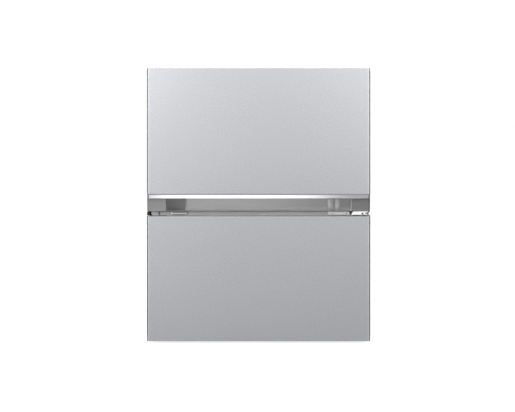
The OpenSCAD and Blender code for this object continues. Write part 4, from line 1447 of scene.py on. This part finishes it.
@dataclass
class CoolingFittings:
    """Control housing, lamp, drain and cold wall of the upper compartment.

    Attributes:
        front: the depth of the housing's front.
        dial: the place of the dial's axis in X and Z.
        scale_radius: the radius of the dots' ring round it.
        scale_step: the angle from dot to dot, in degrees.
        bulb: the place where the bulb starts.
        lens_span: the distance from the first to the last rib of the lens.
        wall: the depth of the compartment's back.
    """

    front: float = -142.0
    dial: tuple[float, float] = (-66.0, 676.0)
    scale_radius: float = 11.9
    scale_step: float = 54.0
    bulb: Point = (22.0, -82.0, 672.0)
    lens_span: float = 85.6
    wall: float = 212.0

    def scale(self, shop: Workshop) -> None:
        """Prints the thermostat's scale of growing dots round the dial.

        Args:
            shop: the workshop that keeps the pieces.
        """
        dots = []
        for step in range(6):
            angle = math.radians(90 + self.scale_step * step)
            place = (self.dial[0] + self.scale_radius * math.cos(angle), self.front,
                     self.dial[1] + self.scale_radius * math.sin(angle))
            radius = 0.4 + 0.11 * step
            dot = [(0.0, 0.0), (radius, 0.0), (radius, 0.2), (0.0, 0.3)]
            dots.append(turned(dot, place, Facing.FRONT, 16))
        shop.solid("thermostat_scale", "cabinet", "grip_gray", merged(*dots))

    def lamp(self, shop: Workshop) -> None:
        """Builds the bulb, its socket and the ribs of the lens over them.

        Args:
            shop: the workshop that keeps the pieces.
        """
        glass = [(0.0, 0.0), (4.5, 0.0), (4.8, 6.0), (6.9, 18.0), (7.2, 25.0), (5.4, 31.0), (0.0, 33.5)]
        shop.solid("lamp_bulb", "cabinet", "lens_white", turned(glass, self.bulb, Facing.RIGHT, 24),
                   Finishes.bulb)
        base = [(0.0, -12.0), (6.4, -12.0), (6.4, -1.0), (5.2, 0.4), (0.0, 0.4)]
        shop.solid("lamp_socket", "cabinet", "liner_white", turned(base, self.bulb, Facing.RIGHT, 24))
        shop.bars("lamp_lens_ribs", "cabinet", "lens_white", 13, (-2.8, -82, 657.9),
                  (self.lens_span / 12, 0, 0), (1.6, 74, 0.9))

    def housing(self, shop: Workshop) -> None:
        """Lays dark bars on the housing's front as the painted shade of its slots, and raises the frame round
        it.

        Args:
            shop: the workshop that keeps the pieces.
        """
        # Painted shade of the slots, in two rows.
        for name, z in (("housing_slots", 676), ("housing_slots_low", 671.4)):
            shop.bars(name, "cabinet", "grip_gray", 9, (14, self.front + 0.15, z), (9.2, 0, 0),
                      (5.2, 0.5, 1.6), finish=Finishes.recess)
        shop.strand("housing_edge", "cabinet", "liner_white", upright_ring(99, 664.8, 688.0, self.front), 0.5,
                    4.0, closed=True)

    def back_wall(self, shop: Workshop) -> None:
        """Raises the cold panel in the back wall and leads its water to the drain.

        Args:
            shop: the workshop that keeps the pieces.
        """
        panel = block((-176, self.wall - 1.6, 520), (176, self.wall + 0.5, 650), 1.5)
        shop.solid("cold_panel", "cabinet", "liner_white", panel)
        for name, side in (("left", -1), ("right", 1)):
            line = [(side * x, self.wall - 0.4, z) for x, z in ((196, 412), (12, 395), (8.4, 388))]
            shop.strand("drain_channel_" + name, "cabinet", "liner_white", line, 2.2, 4.0)
        ring = [(7.1, -0.6), (10.6, -0.6), (10.2, 1.6), (8.6, 2.4), (7.1, 1.4)]
        shop.solid("drain_ring", "cabinet", "cap_gray", turned(ring, (0, self.wall, 386.0), Facing.FRONT))

    def build(self, shop: Workshop) -> None:
        """Builds all of it.

        Args:
            shop: the workshop that keeps the pieces.
        """
        self.scale(shop)
        self.lamp(shop)
        self.housing(shop)
        self.back_wall(shop)


@dataclass
class DrawerTrim:
    """Grip edge and ribs of one clear drawer.

    Attributes:
        name: the start of the pieces' names.
        body: the drawer's body.
        front: the depth of its front face.
        recess: half the width, the lower and the upper edge of the grip recess.
        side: how far the ribbed side wall stands out.
        ribs: the depths of the first and the last side rib.
        heights: the lower and upper end of the side ribs.
    """

    name: str
    body: str
    front: float
    recess: tuple[float, float, float]
    side: float
    ribs: tuple[float, float]
    heights: tuple[float, float]

    def build(self, shop: Workshop) -> None:
        """Rounds the grip's edge, raises ribs on the side walls and runs low flutes across the front.

        Args:
            shop: the workshop that keeps the pieces.
        """
        _, low, high = self.recess
        shop.strand(self.name + "_grip_edge", self.body, "clear_plastic",
                    upright_ring(*self.recess, self.front), 1.2, (high - low) / 2 - 0.5, closed=True)
        (first, last), (low, high) = self.ribs, self.heights
        for name, side in (("left", -self.side), ("right", self.side)):
            shop.bars(f"{self.name}_ribs_{name}", self.body, "clear_plastic", 9,
                      (side, first, (low + high) / 2), (0, (last - first) / 8, 0), (1.2, 2.0, high - low))
        shop.bars(self.name + "_front_flutes", self.body, "clear_plastic", 5, (0, self.front + 0.1, low + 10),
                  (0, 0, 6.5), (2 * self.side - 44, 0.9, 2.0))


@dataclass
class BackWall:
    """Screws and clips of the appliance's back.

    Attributes:
        panel: the depth of the back panel.
        tube: the depth of the condenser's tube.
        runs: the heights of the tube's lowest and highest run.
    """

    panel: float = 262.0
    tube: float = 284.0
    runs: tuple[float, float] = (226.0, 679.5)

    def build(self, shop: Workshop) -> None:
        """Builds the panel's screws and the clips that hold the condenser's bends.

        Args:
            shop: the workshop that keeps the pieces.
        """
        points = [(side * 288.0, self.panel, z) for side in (-1, 1) for z in range(190, 671, 120)]
        points += [(x, self.panel, 712.0) for x in (-200, -70, 70, 200)]
        shop.screws("panel_screw", "hinge_steel", points, Facing.BACK, 3.8, 1.8)
        low, high = self.runs
        clips = []
        for left, run in ((220.5, 1.5), (-233.5, 8.5)):
            z = low + run * (high - low) / 10
            clips.append(block((left, self.tube - 4, z - 6), (left + 13.0, self.tube + 4.2, z + 6), 1.5))
        shop.solid("condenser_clips", "cabinet", "black_plastic", merged(*clips))


@dataclass
class MachineFittings:
    """Small parts of the compressor and its bay.

    Attributes:
        place: where the compressor's axis meets the floor.
        radius: the radius of its shell.
    """

    place: Point = (80.0, 177.0, 0.0)
    radius: float = 72.0

    def compressor(self, shop: Workshop) -> None:
        """Adds the weld bead, the process stub and the wire that holds the terminal cover.

        Args:
            shop: the workshop that keeps the pieces.
        """
        bead = [(self.radius + out, z) for out, z in ((-0.6, 89.6), (1.4, 89.8), (0.4, 92.2), (-0.6, 92.2))]
        shop.solid("compressor_weld", "cabinet", "compressor_black", turned(bead, self.place, Facing.UP, 72))
        shop.strand("process_stub", "cabinet", "copper", [(104, 232, 100), (110, 247, 100), (110, 247, 122)],
                    2.8, 6.0)
        shop.solid("process_pinch", "cabinet", "copper", block((106.2, 246.2, 121), (113.8, 247.8, 131), 0.4))
        wire = [(148, 150.2, 86), (177.2, 150.2, 86), (177.2, 203.8, 86), (148, 203.8, 86)]
        shop.strand("terminal_wire", "cabinet", "hinge_steel", wire, 0.9, 4.0)

    def joints(self, shop: Workshop) -> None:
        """Adds the brazed joints of the pipes.

        Args:
            shop: the workshop that keeps the pieces.
        """
        pipes = (("discharge", (4, 177, 78), Facing.LEFT, 3.6), ("drier_in", (190, 236, 142), Facing.UP, 3.9),
                 ("drier_out", (190, 236, 67), Facing.DOWN, 3.4),
                 ("suction", (30, 124, 92), Facing.FRONT, 4.4))
        for name, place, facing, radius in pipes:
            ring = [(radius * 0.6, -3.0), (radius, -2.0), (radius * 0.92, 2.0), (radius * 0.6, 4.0)]
            shop.solid("braze_" + name, "cabinet", "copper", turned(ring, place, facing, 20))

    def supply(self, shop: Workshop) -> None:
        """Leads the supply cable from the inlet to the terminal cover, with its bushing.

        Args:
            shop: the workshop that keeps the pieces.
        """
        cable = [(163, 198, 68), (163, 198, 50), (163, 257, 50), (-262, 257, 50), (-262, 257, 165)]
        shop.strand("supply_cable", "cabinet", "black_rubber", cable, 3.0, 12.0)
        ring = [(3.0, -6.0), (7.5, -6.0), (7.5, -4.5), (5.0, -3.8), (5.0, 1.0), (3.0, 1.0)]
        shop.solid("cable_bushing", "cabinet", "black_rubber", turned(ring, (-262, 257, 166), Facing.UP, 24))
        shop.bars("inlet_pins", "cabinet", "trim_bright", 3, (-252.2, 270, 188), (2.2, 0, 0), (0.9, 12, 1.8))
        shop.screws("bay_screw", "hinge_steel", [(-60, 240, 19.5), (-120, 240, 19.5)], Facing.UP, 4.0, 2.2)

    def build(self, shop: Workshop) -> None:
        """Builds all of it.

        Args:
            shop: the workshop that keeps the pieces.
        """
        self.compressor(shop)
        self.joints(shop)
        self.supply(shop)


@dataclass
class Roller:
    """Spokes of one rear roller.

    Attributes:
        body: the roller's body.
        x: the middle of its width.
    """

    body: str
    x: float

    def build(self, shop: Workshop) -> None:
        """Raises the spokes on both faces of the wheel.

        Args:
            shop: the workshop that keeps the pieces.
        """
        for name, side in (("outer", 8.1), ("inner", -8.1)):
            shop.ring(f"{self.body}_spokes_{name}", self.body, "black_plastic", 6, 10.2, (5.4, 1.6, 0.9),
                      (self.x + side, 222.0, 15.0), Facing.RIGHT)


@dataclass
class Foot:
    """Grips and thread of one levelling foot.

    Attributes:
        body: the foot's body.
        x: its place across.
        y: its depth.
    """

    body: str
    x: float
    y: float = -202.0

    def build(self, shop: Workshop) -> None:
        """Builds the ring of grips on the pad and the thread's ridges.

        Args:
            shop: the workshop that keeps the pieces.
        """
        shop.ring(self.body + "_grips", self.body, "black_plastic", 24, 15.5, (1.0, 1.6, 1.8),
                  (self.x, self.y, 3.1), Facing.UP)
        ridges = [turned([(4.8, h), (5.45, h + 0.5), (4.8, h + 1.0)], (self.x, self.y, 0), Facing.UP, 24)
                  for h in (13.6, 15.0, 16.4)]
        shop.solid(self.body + "_thread", self.body, "black_plastic", merged(*ridges))


# Studio


@dataclass
class Studio:
    """Floor, lamps and camera, which aren't part of the appliance.

    Attributes:
        distance: how far the camera stands from the doors.
        sensor: the width of its sensor, in millimetres.
        floor_size: the floor's side.
        fade: how far from its middle it starts to grow lighter and is lightest.
        glow: how light it is at both.
        mirrored: how bright the surroundings are in shiny surfaces.
        ambient: how much light they give.
    """

    distance: float = 5.0
    sensor: float = 36.0
    floor_size: float = 60.0
    fade: tuple[float, float] = (0.8, 3.0)
    glow: tuple[float, float] = (0.86, 1.0)
    mirrored: float = 0.7
    ambient: float = 0.25

    def camera(self) -> None:
        """Sets the camera square to the doors, at the height of the picture's middle."""
        lens = bpy.data.cameras.new("camera")
        lens.sensor_width = self.sensor
        lens.lens = self.sensor * self.distance / (PHOTO_WIDTH_PX * METRES_PER_PX)
        lens.clip_end = 100.0
        eye = placed("camera", lens)
        middle_px = (OBJECT_LEFT_PX + OBJECT_RIGHT_PX) / 2
        across = (PHOTO_WIDTH_PX / 2 - middle_px) * METRES_PER_PX
        front = CAD_BOX[0][1]
        height = CAD_BOX[1][2] - (PHOTO_HEIGHT_PX / 2 - DOORS_TOP_PX) * METRES_PER_PX
        eye.location = (across, front - self.distance, height)
        eye.rotation_euler = (math.radians(90), 0.0, 0.0)
        bpy.context.scene.camera = eye

    def floor(self) -> None:
        """Lays a white floor that keeps the shadow of the appliance."""

        def looks(tree: Tree) -> dict[str, object]:
            """Lets the floor glow for the camera only, and more with its distance.

            Args:
                tree: the material's tree.

            Returns:
                The inputs of the shader by name.
            """
            away = tree.add("ShaderNodeVectorMath", tree.point(), operation="LENGTH").outputs["Value"]
            seen = tree.add("ShaderNodeLightPath").outputs["Is Camera Ray"]
            glow = tree.math("MULTIPLY", seen, tree.span(away, *self.fade, *self.glow))
            return {"Base Color": FLOOR_GRAY, "Roughness": 0.9, "Specular IOR Level": 0.0,
                    "Emission Color": WHITE, "Emission Strength": glow}

        bpy.ops.mesh.primitive_plane_add(size=self.floor_size, location=(0, 0, -FLOOR_DROP))
        plane = bpy.context.object
        plane.name = "floor"
        plane.data.materials.append(principled("floor_white", looks))

    def world(self) -> None:
        """Makes the surroundings white to look at and soft to be lit by."""
        world = bpy.data.worlds.new("studio")
        bpy.context.scene.world = world
        world.use_nodes = True
        tree = Tree(world.node_tree)
        ground = world.node_tree.nodes["Background"]
        tree.fill(ground.inputs["Color"], WHITE)
        rays = tree.add("ShaderNodeLightPath").outputs
        seen = tree.math("MAXIMUM", rays["Is Camera Ray"], rays["Is Transmission Ray"])
        seen = tree.math("MAXIMUM", seen, tree.math("MULTIPLY", rays["Is Glossy Ray"], self.mirrored))
        tree.fill(ground.inputs["Strength"], tree.math("MAXIMUM", seen, self.ambient))

    def lamp(self, name: str, place: Point, aim: Point, size: tuple[float, float], power: float,
             glossy: bool = True, diffuse: bool = True) -> None:
        """Adds a soft rectangular lamp.

        Args:
            name: its name.
            place: where it hangs.
            aim: the point that it faces.
            size: its width and height.
            power: its power in watts.
            glossy: whether shiny surfaces mirror it.
            diffuse: whether it lights matt surfaces.
        """
        light = bpy.data.lights.new(name, "AREA")
        light.shape = "RECTANGLE"
        light.size, light.size_y = size
        light.energy = power
        lamp = placed(name, light)
        lamp.visible_glossy = glossy
        lamp.visible_diffuse = diffuse
        lamp.location = place
        lamp.rotation_euler = (Vector(aim) - Vector(place)).to_track_quat("-Z", "Y").to_euler()

    def build(self) -> None:
        """Sets up the camera, the floor, the surroundings and the lamps."""
        bpy.context.scene.view_settings.view_transform = "Standard"
        self.camera()
        self.floor()
        self.world()
        self.lamp("front", (-0.1, -2.5, 0.37), (0.0, -0.3, 0.36), (0.9, 0.3), 2.35, glossy=False)
        self.lamp("card", (-0.12, -0.8, 0.02), (-0.12, -0.8, 1.0), (0.34, 0.7), 1.25, diffuse=False)
        self.lamp("card_edge", (0.12, -0.8, 0.02), (0.12, -0.8, 1.0), (0.14, 0.7), 0.35, diffuse=False)
        self.lamp("upper_left", (-0.8, -0.75, 1.25), (-0.3, -0.3, 0.6), (0.3, 0.3), 13.0)
        self.lamp("upper_right", (0.8, -0.75, 1.25), (0.3, -0.3, 0.6), (0.3, 0.3), 12.2)
        self.lamp("flank_left", (-0.85, -0.68, 0.5), (-0.2, -0.3, 0.42), (0.3, 0.5), 2.1)
        self.lamp("flank_right", (0.85, -0.68, 0.5), (0.2, -0.3, 0.42), (0.3, 0.5), 0.8)
        self.lamp("rear_left", (-1.7, 2.0, 0.95), (-0.2, 0.2, 0.4), (1.2, 1.0), 17.0)
        self.lamp("rear_right", (1.7, 2.0, 0.95), (0.2, 0.2, 0.4), (1.2, 1.0), 17.0)
        log.info("studio ready")


ASSEMBLIES = (
    DoorFront(),
    Gasket("fridge_door", 353.5, 714.5),
    Gasket("freezer_door", 32.0, 337.5),
    DoorBin("upper_bin", 562.0, 618.0),
    DoorBin("lower_bin", 408.0, 482.0),
    BottleClip(),
    GlassEdge("shelf", 596.0),
    GlassEdge("crisper_cover", 502.0),
    CoolingFittings(),
    DrawerTrim("crisper", "crisper", -131.0, (74.0, 451.0, 473.0), 225.6, (-100.0, 170.0), (378.0, 486.0)),
    DrawerTrim("upper_freezer", "upper_freezer_drawer", -191.0, (79.0, 267.0, 291.0), 219.4, (-160.0, 180.0),
               (210.0, 290.0)),
    DrawerTrim("lower_freezer", "lower_freezer_drawer", -191.0, (79.0, 149.0, 173.0), 219.4, (-160.0, 20.0),
               (72.0, 172.0)),
    BackWall(),
    MachineFittings(),
    Roller("left_roller", -236.0),
    Roller("right_roller", 236.0),
    Foot("left_foot", -188.0),
    Foot("right_foot", 188.0),
)


def main() -> None:
    """Builds the appliance's looks in order."""
    logging.basicConfig(level=logging.INFO, format="%(message)s")
    Studio().build()
    dress_frame()
    shop = Workshop()
    for assembly in ASSEMBLIES:
        count = len(shop.made)
        assembly.build(shop)
        log.info("%s: %s", type(assembly).__name__, ", ".join(shop.made[count:]))


if __name__ == "__main__":
    main()
